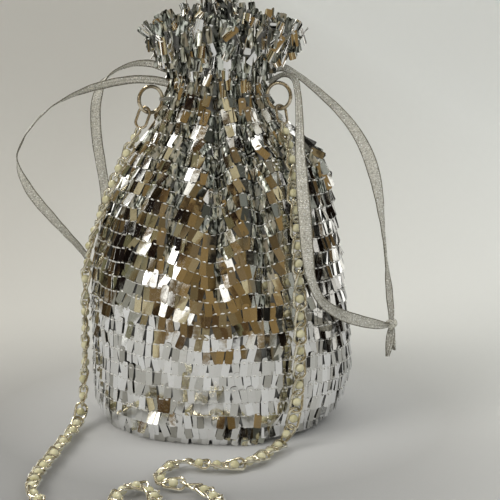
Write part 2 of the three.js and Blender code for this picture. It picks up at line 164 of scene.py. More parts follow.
GROUP_CALM = 0.4

# Patches where the plates lie otherwise: middle and half size, then more lean, a mean turn and more spread
PATCH = table("azimuth z wide high lean turn loose", (
    (-28, 22, 9, 6, 15.0, 0, 0.5),
    (3, 15, 4, 5, 19.0, 0, 0.5),
    (17, 9, 9, 9, 22.0, 0, 0.5),
    (-42, 12, 5, 6, 19.0, 0, 0.6),
    (-42, 73, 14, 6, -3.5, 0, 0.2),
    (-14, 71, 8, 4, -2.5, 0, 0.4),
    (0, 57, 8, 4, 5.0, 0, 0.4),
    (25, 56, 9, 6, 6.0, 0, 0.5),
    (64, 60, 13, 11, 4.5, 0, 0.6),
    (-72, 64, 12, 8, 5.0, 0, 0.6),
    (84, 112, 32, 36, 3.0, 0, 0.6),
    (88, 148, 17, 15, 7.0, 36, 0.6),
    (150, 24, 8, 6, 14.0, 0, 0.6),
    (-140, 16, 7, 6, 17.0, 0, 0.6),
))

# How far the rows droop, in millimetres: slow swags round the pouch, and more in each fold's valley
DROOP = table("azimuth droop", (
    (-180, 0), (-115, 0), (-78, -3), (-50, -3), (-35, -1), (-22, 2), (-12, 6), (-4, 8.5), (3, 7), (8, 4),
    (14, 2), (23, 3), (32, 0), (50, -1), (75, 0), (180, 0),
))
DROOP_SHARE = table("z share", (
    (0, 0), (40, 0.1), (65, 0.4), (85, 0.8), (105, 1), (140, 1), (165, 0.7), (185, 0.4), (227, 0),
))
VALLEY_SAG = 0.45
SAG_ENDS = 20  # millimetres above the neck
RUFFLE_FROM = 181 * MM
RUFFLE_DISORDER = 1.7 * MM

# Tints: sequins with a higher one than this are crumpled. Depths and heights are in millimetres
CRUMPLED_TINT = 0.8
PLAIN_TINTS = (0.0, 0.78)
RUFFLE_TINTS = (0.35, 0.9)  # above the neck the plain tints lie in this part of the whole range
CRUMPLED_TINTS = (0.82, 1.0)
BODY_LIGHTS = (0.3, 0.9)  # parts of the crumpled tints that occur on the body and in the neck
NECK_LIGHTS = (0.2, 1.0)
NECK_TINTS_FROM = NECK_HEIGHT - 12
CRUMPLED_VALLEY = 0.75  # largest share of crumpled sequins in a valley
CRUMPLED_DEPTHS = (0.6, 2.8)  # depths below the ridges over which that share is reached
CRUMPLED_NECK = 0.42  # largest share of crumpled sequins in the neck and the ruffle
CRUMPLED_HEIGHTS = (168.0, 186.0)
DARKENING = 0.55  # loss of light deep in the ruffle's valleys
DARK_DEPTHS = (2.5, 6.5)
DARK_HEIGHTS = (NECK_HEIGHT - 6, NECK_HEIGHT + 4)

# Plates round the ruffle's edge: millimetres below it, their number, and how far their tips point up and out
EDGE_ROWS = (
    (0.6, 66, 0.9, 0.02),
    (1.6, 74, -0.9, 0.04),
    (1.0, 82, -0.9, -0.3),
    (2.6, 74, 0.8, -0.4),
    (6.0, 98, -0.9, -0.3),
    (12.0, 90, -0.9, -0.2),
)
EDGE_SPREAD = 0.36
EDGE_FREE = 0.5  # share of that spread which neighbours don't have in common
EDGE_FLATNESS = 0.6
HIGHEST_TIP = 0.243

# Stitches
STITCH_HALF = (0.92 * MM, 0.46 * MM, 0.42 * MM)
STITCH_RISE = 0.2 * MM
STITCH_RINGS, STITCH_SIDES = 4, 5
STITCHES_HIDDEN = 0.8  # share of the stitches that the deepest valleys hide
HIDING_DEPTHS = (1.0, 3.5)  # millimetres below the ridges over which that share is reached
ROW_THREAD = 0.25 * MM

# Ribbon drawstrings: the same routes as the solids, in metres, with the direction that the width lies along
RIBBON_WIDTH = 7 * MM
RIBBON_FILM = 0.14 * MM
RIBBON_STEP = 0.5 * MM
RIBBON_COLUMNS = 13
SELVEDGE = 0.3 * MM
CROSS_THREAD = 0.19 * MM
CROSS_EVERY = 2  # steps
FLAKE = 0.42 * MM
FLAKES_PER_STEP = 2
FLAKE_HALF_THICKNESS = 0.06 * MM
FLAKE_SPREAD = 0.25 * MM
FLAKE_LEAN = 0.45
CROSS_SLANT = 0.1 * MM
CUP, CUP_WAVE = 0.35 * MM, 21 * MM  # height of the slow cupping, and the length of one radian of it
RIPPLE, RIPPLE_WAVE = 0.13 * MM, 1.9 * MM
RIPPLE_ACROSS = 2.5  # radians from the middle to an edge
PLEAT, PLEAT_WAVE = 1.1 * MM, 9 * MM  # height where the ribbon is gathered to nothing
PLEATS_ACROSS = 2.5
RIBBONS = {
    "ribbon_left_upper": (
        ((-0.0266, 0.0, 0.1956), (0, -0.05, 1)),
        ((-0.0387, 0.001, 0.1992), (0, -0.5, 1)),
        ((-0.0486, 0.002, 0.1981), (0.2, -0.9, 0.6)),
        ((-0.0564, 0.0035, 0.1948), (0.4, -0.9, 0.4)),
        ((-0.0627, 0.005, 0.1897), (0.6, -0.8, 0.4)),
        ((-0.067, 0.008, 0.1812), (0.9, -0.5, 0.3)),
        ((-0.0688, 0.011, 0.1715), (1, -0.3, 0)),
        ((-0.0686, 0.015, 0.1553), (1, -0.2, 0)),
        ((-0.067, 0.019, 0.1405), (1, -0.2, 0)),
        ((-0.0655, 0.024, 0.1255), (1, -0.3, 0)),
        ((-0.0655, 0.029, 0.11), (1, -0.5, 0)),
        ((-0.0685, 0.032, 0.093), (0.8, -0.7, 0)),
        ((-0.0718, 0.0324, 0.0821), (0.6, -0.8, 0)),
    ),
    "ribbon_left_lower": (
        ((-0.0252, 0.0, 0.188), (0, -0.1, 1)),
        ((-0.037, 0.0, 0.1902), (0, -0.2, 1)),
        ((-0.0486, 0.0, 0.1902), (0, -0.4, 1)),
        ((-0.0651, 0.0, 0.187), (0.2, -0.6, 0.8)),
        ((-0.0789, 0.0, 0.1823), (0.3, -0.8, 0.5)),
        ((-0.093, 0.002, 0.1747), (0.2, -1, 0.2)),
        ((-0.1045, 0.004, 0.1634), (0.1, -1, 0)),
        ((-0.1112, 0.006, 0.1521), (0, -1, 0)),
        ((-0.1128, 0.008, 0.1451), (0.2, -1, 0)),
        ((-0.1106, 0.01, 0.1357), (0.6, -0.8, 0.3)),
        ((-0.1051, 0.013, 0.1244), (0.8, -0.5, 0.5)),
        ((-0.0964, 0.017, 0.1122), (0.7, -0.4, 0.6)),
        ((-0.0869, 0.022, 0.0998), (0.7, -0.5, 0.6)),
        ((-0.079, 0.028, 0.0886), (0.6, -0.7, 0.5)),
        ((-0.0752, 0.031, 0.0808), (0.5, -0.8, 0.3)),
    ),
    "ribbon_right_outer": (
        ((0.0256, 0.0009, 0.1954), (0, 0.05, 1)),
        ((0.0351, 0.0015, 0.1966), (0, 0.5, 1)),
        ((0.0444, 0.0005, 0.1916), (0.3, 0.7, 0.8)),
        ((0.0553, -0.0015, 0.183), (0.4, 0.6, 0.7)),
        ((0.0663, -0.004, 0.1729), (0.6, 0.4, 0.7)),
        ((0.075, -0.007, 0.1621), (0.8, 0.1, 0.6)),
        ((0.0816, -0.009, 0.1496), (0.9, 0, 0.4)),
        ((0.0865, -0.012, 0.1334), (0.9, 0.4, 0.2)),
        ((0.0892, -0.016, 0.1146), (0.6, 0.8, 0.1)),
        ((0.0913, -0.02, 0.093), (0.4, 0.9, 0.1)),
        ((0.0929, -0.023, 0.0768), (0.8, 0.6, 0)),
        ((0.0942, -0.0249, 0.0626), (0.9, 0.3, 0)),
    ),
    "ribbon_right_front": (
        ((0.0272, -0.0038, 0.189), (0.1, 0.1, 1)),
        ((0.0352, -0.0105, 0.1938), (0.3, 0.5, 0.8)),
        ((0.0404, -0.0205, 0.1922), (0.7, 0.2, 0.6)),
        ((0.0418, -0.029, 0.1852), (0.9, -0.1, 0.4)),
        ((0.0422, -0.036, 0.1752), (1, -0.1, 0.1)),
        ((0.0422, -0.046, 0.1574), (1, -0.1, 0)),
        ((0.0429, -0.055, 0.1402), (1, 0, 0)),
        ((0.0442, -0.061, 0.1228), (1, 0.1, 0)),
        ((0.0452, -0.065, 0.1077), (1, 0.2, 0.1)),
        ((0.0475, -0.067, 0.0924), (0.8, 0.5, 0.3)),
        ((0.0526, -0.065, 0.0812), (0.5, 0.5, 0.7)),
        ((0.0624, -0.0555, 0.072), (0.3, 0.1, 0.9)),
        ((0.0742, -0.0435, 0.065), (0.2, 0, 1)),
        ((0.0845, -0.034, 0.0604), (0.2, 0, 1)),
        ((0.0906, -0.0282, 0.0582), (0.1, 0, 1)),
    ),
}

# Where the ribbons are gathered: shares of the length and of the width
RIBBON_GATHERS = {
    "ribbon_left_upper": ((0, 0.6), (0.15, 0.75), (0.6, 0.85), (0.9, 0.7), (1, 0.35)),
    "ribbon_left_lower": ((0, 0.65), (0.2, 0.75), (0.75, 0.9), (0.9, 0.65), (1, 0.35)),
    "ribbon_right_outer": (
        (0, 0.7), (0.2, 0.62), (0.35, 0.8), (0.5, 1), (0.65, 0.75), (0.8, 0.6), (0.9, 0.6), (1, 0.35),
    ),
    "ribbon_right_front": (
        (0, 0.55), (0.15, 0.5), (0.25, 0.6), (0.35, 0.8), (0.45, 1), (0.55, 1), (0.7, 0.75), (0.87, 0.9),
        (0.94, 0.75), (1, 0.35),
    ),
}
TAIL_GATHERS = ((0, 0.35), (0.3, 0.62), (0.7, 0.5), (1, 0.15))

# Knots that close the two drawstring loops
KNOT_REACH = (0.7 * MM, 0.992 * MM, 0.78 * MM)  # scale of the tie's curve in each direction
KNOT_STRAND = 1.15 * MM
KNOT_FLAKES = 260
KNOT_PLEATS = 7
KNOT_PLEAT_DEPTH = 0.14  # of the strand's radius, to each side of its mean
KNOT_FLATNESS = (1.15, 0.8)  # the strand's width and thickness against a round one
KNOT_STEPS = 120
TAIL_SPREAD = 2.2 * MM
TAIL_START_DROP = 1 * MM
TAIL_SIDE = 1 * MM
KNOTS = {
    "knot_left": {"at": (-0.0723, 0.0325, 0.0774), "turn": -40, "tails": (0.019, 0.015)},
    "knot_right": {"at": (0.0944, -0.025, 0.058), "turn": 10, "tails": (0.018, 0.015)},
}

# Rings, links and thread loops that hang the chain
RING_RADIUS = 7 * MM
RING_WIRE = 1 * MM
RING_STEPS, RING_SIDES = 64, 12
LINK_LENGTH = 13 * MM
LINK_WIDTH = 8 * MM
LINK_WIRE = 0.8 * MM
LOOP_THREAD = 0.32 * MM
LOOP_LEVEL = 0.45 * MM  # how far each strand of a loop lies above or below the ring's middle
GAP = 0.3 * MM
HANGERS = {
    "left": {"ring": (-0.0365, -0.0211, 0.1815), "hang": 60, "up": (0.35, 0, 0.94), "turn": 35},
    "right": {"ring": (0.0322, -0.0171, 0.183), "hang": 80, "up": (-0.1, 0.6, 0.79), "turn": -35},
}

# Chain strap: twisted oval links with a bead in each
CHAIN_PITCH = 9.4 * MM
CHAIN_LINK_LENGTH = 13.2 * MM
CHAIN_LINK_WIDTH = 7.9 * MM
CHAIN_WIRE = 0.8 * MM
CHAIN_TWIST = 32
CHAIN_LINK_STEPS = 32
CHAIN_SWAY = 14  # degrees by which the links lie over, one to each side in turn
CHAIN_SPREAD = 11
CHAIN_LIES = (30 * MM, 10 * MM)  # the links turn from the pouch's side to the ground between these heights
BEAD_RADIUS = 2.4 * MM
BEAD_HOLE = 0.45 * MM
BEAD_DIMPLE = (0.55 * BEAD_RADIUS, 0.2 * BEAD_HOLE)  # reach and radius of the hole's inner end
BEAD_SPREAD = 0.25 * MM
LYING = 0.0042
CHAINS = {
    "chain_left": (
        (-0.0432, -0.02285, 0.1654), (-0.0492, -0.0223, 0.1535), (-0.055, -0.021, 0.142),
        (-0.061, -0.019, 0.128), (-0.0667, -0.017, 0.114), (-0.0712, -0.015, 0.1),
        (-0.0738, -0.014, 0.084), (-0.0748, -0.013, 0.067), (-0.0752, -0.014, 0.045),
        (-0.076, -0.017, 0.025), (-0.077, -0.023, 0.011), (-0.079, -0.035, 0.0046),
        (-0.083, -0.06, LYING), (-0.0875, -0.088, LYING), (-0.091, -0.11, LYING),
        (-0.0913, -0.129, LYING), (-0.085, -0.149, LYING), (-0.074, -0.162, LYING),
        (-0.06, -0.162, LYING), (-0.051, -0.15, LYING), (-0.048, -0.136, LYING),
        (-0.0415, -0.128, LYING), (-0.034, -0.135, LYING), (-0.0305, -0.148, LYING),
        (-0.0255, -0.16, LYING), (-0.019, -0.168, LYING), (-0.014, -0.1685, LYING),
    ),
    "chain_right": (
        (0.0344, -0.0239, 0.1679), (0.036, -0.0295, 0.1625), (0.0375, -0.0365, 0.1555),
        (0.0384, -0.043, 0.147), (0.0387, -0.0485, 0.135), (0.0395, -0.0515, 0.126),
        (0.0405, -0.0545, 0.1143), (0.041, -0.057, 0.104), (0.0415, -0.06, 0.09),
        (0.042, -0.0615, 0.07), (0.042, -0.062, 0.054), (0.0416, -0.062, 0.0374),
        (0.0401, -0.0625, 0.0236), (0.0375, -0.0635, 0.0125), (0.033, -0.0675, 0.0054),
        (0.0275, -0.0765, LYING), (0.019, -0.09, LYING), (0.0055, -0.1, LYING),
        (-0.0085, -0.098, LYING), (-0.019, -0.095, LYING), (-0.0265, -0.103, LYING),
        (-0.03, -0.114, LYING), (-0.027, -0.124, LYING), (-0.016, -0.127, LYING),
        (-0.007, -0.136, LYING), (-0.0015, -0.149, LYING), (-0.0025, -0.16, LYING),
        (-0.0085, -0.168, LYING), (-0.0131, -0.1685, LYING),
    ),
}
MISSING_BEADS = ((-0.0155, -0.0959), (-0.007, -0.1), (-0.0165, -0.127))
MISSING_REACH = 4.6 * MM

# Floor, and lights by their name, place, aim, size, power and colour
FLOOR_SIZE = 120.0
PAINTED_SHADOW_MIDDLE = (-0.05, -0.14, 0.0)  # the floor's colour is darker round this place in front: a painted soft shadow
MIRRORED_FLOOR = 0.62  # the sequins mirror the floor up to this distance, and the room beyond it
LIGHTS = (
    ("window_light", (-1.0, -0.75, 0.95), (0, 0, 0.1), (0.7, 0.7), 9.0, (1.0, 0.98, 0.95)),
    ("fill_light", (1.1, -0.3, 1.1), (0, 0, 0.1), (0.9, 0.9), 3.0, (0.95, 0.97, 1.0)),
)

# Room that the sequins mirror: its patches take each colour from that share of them on
ROOM_CELLS = 5.5
ROOM_COLOURS = (
    (0.0, (0.009, 0.004, 0.003)), (0.13, (0.075, 0.044, 0.018)), (0.24, (0.215, 0.143, 0.056)),
    (0.58, (0.178, 0.128, 0.065)), (0.74, (0.25, 0.19, 0.098)), (0.82, (0.16, 0.15, 0.075)),
    (0.86, (0.48, 0.42, 0.26)), (0.895, (0.56, 0.55, 0.5)), (0.945, (1.45, 1.43, 1.35)),
)
ROOM_SIDES = {  # other colours between two azimuths in degrees
    (44, 82): (
        (0.0, (0.012, 0.011, 0.009)), (0.17, (0.075, 0.078, 0.065)), (0.36, (0.155, 0.163, 0.14)),
        (0.6, (0.29, 0.3, 0.265)), (0.76, (0.15, 0.108, 0.055)), (0.86, (0.6, 0.6, 0.55)),
        (0.94, (1.3, 1.3, 1.25)),
    ),
    (82, 168): (
        (0.0, (0.004, 0.002, 0.001)), (0.6, (0.09, 0.06, 0.026)), (0.64, (0.2, 0.2, 0.175)),
        (0.69, (0.65, 0.64, 0.6)), (0.83, (1.25, 1.25, 1.2)),
    ),
    (-74, -40): (
        (0.0, (0.02, 0.012, 0.006)), (0.18, (0.15, 0.1, 0.042)), (0.46, (0.2, 0.17, 0.085)),
        (0.6, (0.46, 0.4, 0.25)), (0.74, (0.56, 0.55, 0.5)), (0.86, (1.5, 1.48, 1.4)),
    ),
    (-165, -74): (
        (0.0, (0.008, 0.005, 0.004)), (0.2, (0.065, 0.042, 0.018)), (0.44, (0.16, 0.115, 0.05)),
        (0.64, (0.15, 0.143, 0.075)), (0.74, (0.28, 0.28, 0.24)), (0.86, (0.55, 0.54, 0.5)),
        (0.94, (1.4, 1.4, 1.35)),
    ),
}
CEILING = ((0.35, (0.22, 0.22, 0.2)), (0.5, (0.7, 0.7, 0.65)), (0.62, (1.8, 1.8, 1.7)))

# Windows and a dark place of that room: azimuths in degrees, and the sines of their elevations
WINDOWS = (
    (-95, -87, 0.45, 0.8),
    (-63, -58, 0.05, 0.4),
    (56, 66, 0.72, 0.9),
    (152, 158, 0.1, 0.5),
    (-150, -144, 0.1, 0.5),
)
WINDOW_COLOUR = (3.5, 3.5, 3.4)
DARK_DOOR = (34, 58, -0.03, 0.12)  # a dark place of that room, given in the same way
DARK_COLOUR = (0.005, 0.003, 0.002)
PANE_SOFT = 0.02  # radians over which a window fades out to its sides
PANE_EDGE = 0.03  # and the same upwards and downwards, as a sine
LAMP_TOWARDS = (-0.16, 0.26, 0.95)  # a small bright lamp of that room, for the glints on beads and metal
LAMP_SPREAD = 0.02
LAMP_COLOUR = (22.0, 21.5, 20.0)


# Small helpers for vectors

def unit(vectors):
    vectors = np.asarray(vectors, float)
    return vectors / np.maximum(np.linalg.norm(vectors, axis=-1, keepdims=True), 1e-12)


def smooth_step(share):
    share = np.clip(share, 0.0, 1.0)
    return share * share * (3 - 2 * share)


def step_between(values, low, high):
    """Smooth step from 0 at low to 1 at high; low may be the larger one."""
    return smooth_step((values - low) / (high - low))


def turned(first, second, degrees):
    """Turns two perpendicular directions in their own plane, the first towards the second."""
    angle = np.radians(degrees)[..., None] if np.ndim(degrees) else math.radians(degrees)
    return (
        first * np.cos(angle) + second * np.sin(angle),
        second * np.cos(angle) - first * np.sin(angle),
    )


def smooth_lookup(places, values, at):
    """Smooth curve through a table's values, read at the given places."""
    slopes = np.gradient(values, places)
    low = np.clip(np.searchsorted(places, at, side="right") - 1, 0, len(places) - 2)
    gap = places[low + 1] - places[low]
    share = (at - places[low]) / gap
    start, end = values[low], values[low + 1]
    lift = (3 - 2 * share) * share ** 2
    leaving = share * (1 - share) ** 2
    arriving = share ** 2 * (share - 1)
    return start + (end - start) * lift + gap * (slopes[low] * leaving + slopes[low + 1] * arriving)


def through_points(points, per_span=40):
    """Centripetal Catmull-Rom curve through the points, with the same number of steps in each span."""
    points = np.asarray(points, float)
    whole = np.vstack([2 * points[0] - points[1], points, 2 * points[-1] - points[-2]])
    shares = np.linspace(0, 1, per_span, endpoint=False)[:, None]
    curve = []
    for before, start, end, after in zip(whole, whole[1:], whole[2:], whole[3:]):
        middle = np.linalg.norm(end - start) ** 0.5 or 1.0
        first = np.linalg.norm(start - before) ** 0.5 or middle
        last = np.linalg.norm(after - end) ** 0.5 or middle
        leaving = (start - before) / first - (end - before) / (first + middle) + (end - start) / middle
        arriving = (end - start) / middle - (after - start) / (middle + last) + (after - end) / last
        leaving, arriving = leaving * middle, arriving * middle
        curve.append(
            start
            + shares * leaving
            + shares ** 2 * (3 * (end - start) - 2 * leaving - arriving)
            + shares ** 3 * (2 * (start - end) + leaving + arriving)
        )
    return np.vstack(curve + [points[-1:]])


def lengths_along(points):
    steps = np.linalg.norm(np.diff(points, axis=0), axis=1)
    return np.concatenate([[0.0], np.cumsum(steps)])


def at_lengths(points, values, targets):
    """Values that go with the points of a line, read at the given lengths along it."""
    along = lengths_along(points)
    return np.stack([np.interp(targets, along, column) for column in np.transpose(values)], axis=1)


def square_to(vectors, axis, share=1.0):
    """Unit vectors without their part along another direction, or without a share of it."""
    return unit(vectors - axis * np.sum(vectors * axis, axis=1, keepdims=True) * share)


def azimuth_of(places):
    """Azimuths of places in degrees from the front towards +X."""
    return np.degrees(np.arctan2(places[..., 0], -places[..., 1]))


# Small helpers for meshes: a shape is a list of points and a list of faces

def band_faces(rings, sides, closed=False):
    """Faces between neighbouring rings of points; closed joins the last ring to the first."""
    faces = []
    for ring in range(rings if closed else rings - 1):
        start, end = ring * sides, (ring + 1) % rings * sides
        for side in range(sides):
            beside = (side + 1) % sides
            faces.append((start + side, start + beside, end + beside, end + side))
    return faces


def closed_shell(rings, first, last):
    """A closed shape over rings of points, with a point in the middle of each end."""
    count, sides = rings.shape[:2]
    points = np.vstack([rings.reshape(-1, 3), [first], [last]])
    faces = band_faces(count, sides)
    end = (count - 1) * sides
    for side in range(sides):
        beside = (side + 1) % sides
        faces += [(count * sides, beside, side), (count * sides + 1, end + side, end + beside)]
    return points, faces


def sweep(path, normals, profile, closed):
    """Carries a flat outline along a path. Its first axis lies across the path, its second along normals."""
    path = np.asarray(path, float)
    if closed:
        along = unit(np.roll(path, -1, axis=0) - np.roll(path, 1, axis=0))
    else:
        along = unit(np.gradient(path, axis=0))
    normals = np.broadcast_to(np.asarray(normals, float), path.shape)
    across = unit(np.cross(normals, along))
    upright = np.cross(along, across)
    profile = np.asarray(profile, float)
    if profile.ndim == 2:
        profile = np.broadcast_to(profile, (len(path),) + profile.shape)
    aside, above = across[:, None, :] * profile[:, :, :1], upright[:, None, :] * profile[:, :, 1:]
    points = path[:, None, :] + aside + above
    count, sides = profile.shape[:2]
    faces = band_faces(count, sides, closed)
    if not closed:
        faces.append(tuple(range(sides - 1, -1, -1)))
        faces.append(tuple(range((count - 1) * sides, count * sides)))
    return points.reshape(-1, 3), faces


def round_outline(radius, sides):
    angles = np.arange(sides) * 2 * np.pi / sides
    return np.stack([radius * np.cos(angles), radius * np.sin(angles)], axis=1)


def stamped(shape, origins, axes):
    """Copies of one shape, each at its origin with its own three axes."""
    points, faces = shape
    copies = origins[:, None, :] + np.einsum("pk,nkc->npc", points, axes)
    faces = [
        tuple(corner + copy * len(points) for corner in face)
        for copy in range(len(origins))
        for face in faces
    ]
    return copies.reshape(-1, 3), faces


def merged(shapes):
    points, faces, start = [], [], 0
    for shape_points, shape_faces in shapes:
        points.append(shape_points)
        faces.extend(tuple(corner + start for corner in face) for face in shape_faces)
        start += len(shape_points)
    return np.vstack(points), faces


def new_object(name, data):
    made = bpy.data.objects.new(name, data)
    bpy.context.scene.collection.objects.link(made)
    return made


def piece(name, shapes, tints=None):
    """Makes one object from shapes, each with its own material, and lets it ride on the body."""
    points, faces = merged([shape for shape, material in shapes])
    mesh = bpy.data.meshes.new(name)
    mesh.from_pydata(points.tolist(), [], faces)
    material_of_face = []
    for index, (shape, material) in enumerate(shapes):
        mesh.materials.append(material)
        material_of_face.extend([index] * len(shape[1]))
    mesh.polygons.foreach_set("material_index", material_of_face)
    mesh.polygons.foreach_set("use_smooth", [True] * len(faces))
    if tints is not None:
        mesh.attributes.new("tint", "FLOAT", "POINT").data.foreach_set("value", tints)
    mesh.update()
    made = new_object(name, mesh)
    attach(made, BODY)
    return made


# Small helpers for node trees

MIX_SHARE, MIX_FIRST, MIX_SECOND, MIX_RESULT = 0, 6, 7, 2  # sockets of the Mix node when it mixes colours


def fill(tree, made, inputs):
    """Links or sets the inputs of a node."""
    for name, value in inputs.items():
        if isinstance(value, bpy.types.NodeSocket):
            tree.links.new(value, made.inputs[name])
        else:
            made.inputs[name].default_value = value


def node(tree, kind, inputs=None, **settings):
    made = tree.nodes.new("ShaderNode" + kind)
    for name, value in settings.items():
        setattr(made, name, value)
    fill(tree, made, inputs or {})
    return made


def math_node(tree, operation, first, second=0.0, third=0.0):
    return node(tree, "Math", {0: first, 1: second, 2: third}, operation=operation).outputs[0]


def product(tree, first, second):
    return math_node(tree, "MULTIPLY", first, second)


def vector_node(tree, operation, inputs, output="Vector"):
    return node(tree, "VectorMath", inputs, operation=operation).outputs[output]


def ramp(tree, value, stops, interpolation="LINEAR"):
    """Colours that follow a value, from stops with their places and colours."""
    made = node(tree, "ValToRGB", {"Fac": value})
    elements = made.color_ramp.elements
    made.color_ramp.interpolation = interpolation
    while len(elements) < len(stops):
        elements.new(0.5)
    for element, (place, colour) in zip(elements, stops):
        element.position = place
        element.color = (*colour, 1.0)
    return made.outputs["Color"]


def span(tree, value, low, high, to_low=0.0, to_high=1.0, kind="LINEAR"):
    inputs = {"Value": value, "From Min": low, "From Max": high, "To Min": to_low, "To Max": to_high}
    return node(tree, "MapRange", inputs, interpolation_type=kind).outputs["Result"]


def mixed(tree, share, first, second):
    """Mixes two colours, each a socket or three values."""
    inputs = {MIX_SHARE: share}
    for socket, colour in ((MIX_FIRST, first), (MIX_SECOND, second)):
        inputs[socket] = colour if isinstance(colour, bpy.types.NodeSocket) else (*colour, 1.0)
    return node(tree, "Mix", inputs, data_type="RGBA").outputs[MIX_RESULT]


def noise(tree, where, scale, detail=2.0, roughness=0.5):
    inputs = {"Vector": where, "Scale": scale, "Detail": detail, "Roughness": roughness}
    return node(tree, "TexNoise", inputs).outputs["Fac"]


def stretched(tree, where, share):
    """Places for a texture that runs in upright streaks."""
    return node(tree, "Mapping", {"Vector": where, "Scale": (1.0, 1.0, share)}).outputs[0]


def bump(tree, height, strength, distance):
    inputs = {"Height": height, "Strength": strength, "Distance": distance}
    return node(tree, "Bump", inputs).outputs["Normal"]


def new_material(name):
    """A material with its node tree, and the places on the object that its textures follow."""
    material = bpy.data.materials.new(name)
    material.use_nodes = True
    tree = material.node_tree
    return material, tree, node(tree, "TexCoord").outputs["Object"]


def dressed(material, inputs):
    """Links or sets the inputs of a material's shader."""
    tree = material.node_tree
    fill(tree, tree.nodes["Principled BSDF"], inputs)
    return material


# Materials

def grained_material(name, grain, stops, spans, relief, plain, relief_grain=None):
    """Colour, roughness and relief follow one fine grain, unless the relief has a grain of its own."""
    material, tree, where = new_material(name)
    fine = noise(tree, where, *grain)
    raised = noise(tree, where, *relief_grain) if relief_grain else fine
    inputs = {socket: span(tree, fine, *values) for socket, values in spans.items()}
    inputs["Base Color"] = ramp(tree, fine, stops)
    inputs["Normal"] = bump(tree, raised, *relief)
    return dressed(material, inputs | plain)


def sequin_material():
    """Mirror film: nearly even silver with fine scratches. The sequins with a high tint are crumpled, with
    painted reflections in their colour.
    """
    material, tree, where = new_material("sequin_film")
    tint = node(tree, "Attribute", attribute_name="tint").outputs["Fac"]
    colour = ramp(tree, tint, [
        (0.0, (0.42, 0.405, 0.36)), (0.18, (0.7, 0.69, 0.65)), (0.48, (0.89, 0.88, 0.86)),
        (0.79, (0.96, 0.96, 0.95)), (0.81, (0.12, 0.12, 0.1)), (0.88, (0.42, 0.42, 0.385)),
        (1.0, (0.95, 0.97, 0.93)),
    ])
    crumpled = span(tree, tint, 0.79, 0.81)
    drawn_out = stretched(tree, where, 0.16)
    # Painted reflections: upright streaks of dark and bright in the crumpled sequins' colour, like light
    # mirrored by creased foil
    painted_reflections = ramp(tree, noise(tree, drawn_out, 480.0, 2.0, 0.6), [
        (0.4, (0.04, 0.043, 0.036)), (0.47, (0.34, 0.36, 0.32)), (0.52, (0.9, 0.93, 0.87)),
        (0.57, (1.0, 1.0, 0.98)),
    ])
    painted_reflections = vector_node(tree, "MULTIPLY", {0: painted_reflections, 1: colour})
    colour = mixed(tree, crumpled, colour, painted_reflections)
    haze = noise(tree, where, 420.0, 3.0, 0.6)
    rough = span(tree, haze, 0.3, 0.75, 0.04, 0.13)
    scratches = noise(tree, stretched(tree, where, 0.12), 2600.0, 2.0)
    height = math_node(tree, "MULTIPLY_ADD", scratches, 0.06, noise(tree, where, 260.0, 1.0))
    creases = product(tree, noise(tree, drawn_out, 480.0, 1.5), product(tree, crumpled, 20.0))
    return dressed(material, {
        "Base Color": mixed(tree, span(tree, haze, 0.55, 0.8, 0.0, 0.3), colour, (0.7, 0.69, 0.66)),
        "Metallic": math_node(tree, "MULTIPLY_ADD", crumpled, -0.3, 1.0),
        "Roughness": math_node(tree, "MULTIPLY_ADD", crumpled, 0.04, rough),
        "Normal": bump(tree, math_node(tree, "ADD", height, creases), 0.04, 0.0006),
    })


def cloth_material():
    """Silver-grey net cloth under the sequins: a fine weave with soft sheen."""
    material, tree, where = new_material("pouch_cloth")
    apart = node(tree, "SeparateXYZ", {"Vector": where}).outputs
    round_angle = math_node(tree, "ARCTAN2", apart["X"], apart["Y"])
    warp = math_node(tree, "SINE", product(tree, round_angle, 620.0))
    weft = math_node(tree, "SINE", product(tree, apart["Z"], 9500.0))
    weave = product(tree, warp, weft)
    patches = noise(tree, where, 60.0, 3.0)
    colour = ramp(tree, patches, [(0.3, (0.13, 0.13, 0.125)), (0.7, (0.24, 0.24, 0.23))])
    return dressed(material, {
        "Base Color": mixed(tree, span(tree, weave, -1.0, 1.0, 0.0, 0.3), colour, (0.4, 0.4, 0.39)),
        "Roughness": span(tree, patches, 0.3, 0.7, 0.42, 0.62),
        "Metallic": 0.35,
        "Sheen Weight": 0.3,
        "Normal": bump(tree, weave, 0.4, 0.0003),
    })


def thread_material(name, dark, light):
    """Shiny sewing thread with a faint twist."""
    return grained_material(
        name,
        grain=(1800.0, 2.0),
        stops=[(0.3, dark), (0.7, light)],
        spans={"Roughness": (0.3, 0.7, 0.25, 0.45)},
        relief=(0.4, 0.0002),
        plain={"Specular IOR Level": 0.8, "Sheen Weight": 0.2},
    )


def organza_material(name, cover, dark, light):
    """Sheer net: pale and partly see-through, with an uneven cover; more cover where it is tied."""
    material, tree, where = new_material(name)
    fine = noise(tree, where, 1100.0, 2.0, 0.7)
    broad = noise(tree, where, 190.0, 2.0)
    share = span(tree, fine, 0.3, 0.7, 0.18 + cover, 0.5 + cover)
    return dressed(material, {
        "Base Color": ramp(tree, fine, [(0.32, dark), (0.6, light)]),
        "Metallic": 0.1,
        "Roughness": span(tree, fine, 0.3, 0.7, 0.22, 0.5),
        "Alpha": math_node(tree, "MULTIPLY_ADD", broad, 0.5, share),
        "Normal": bump(tree, fine, 0.3, 0.0003),
    })


def lurex_material(name, dark, light):
    """Metallic thread of the ribbon's selvedge or cross threads."""
    return grained_material(
        name,
        grain=(1300.0, 2.0, 0.7),
        stops=[(0.35, dark), (0.7, light)],
        spans={"Roughness": (0.3, 0.7, 0.2, 0.45)},
        relief=(0.5, 0.0003),
        plain={"Metallic": 0.3},
    )


def glitter_material():
    """Bright specks of film on the ribbon, some white and some like mirrors."""
    return grained_material(
        "ribbon_glitter",
        grain=(700.0, 1.0),
        stops=[(0.35, (0.9, 0.88, 0.77)), (0.55, (1.0, 1.0, 0.97))],
        spans={"Roughness": (0.3, 0.7, 0.3, 0.12), "Metallic": (0.43, 0.5, 0.95, 0.0)},
        relief=(0.3, 0.0002),
        plain={},
    )


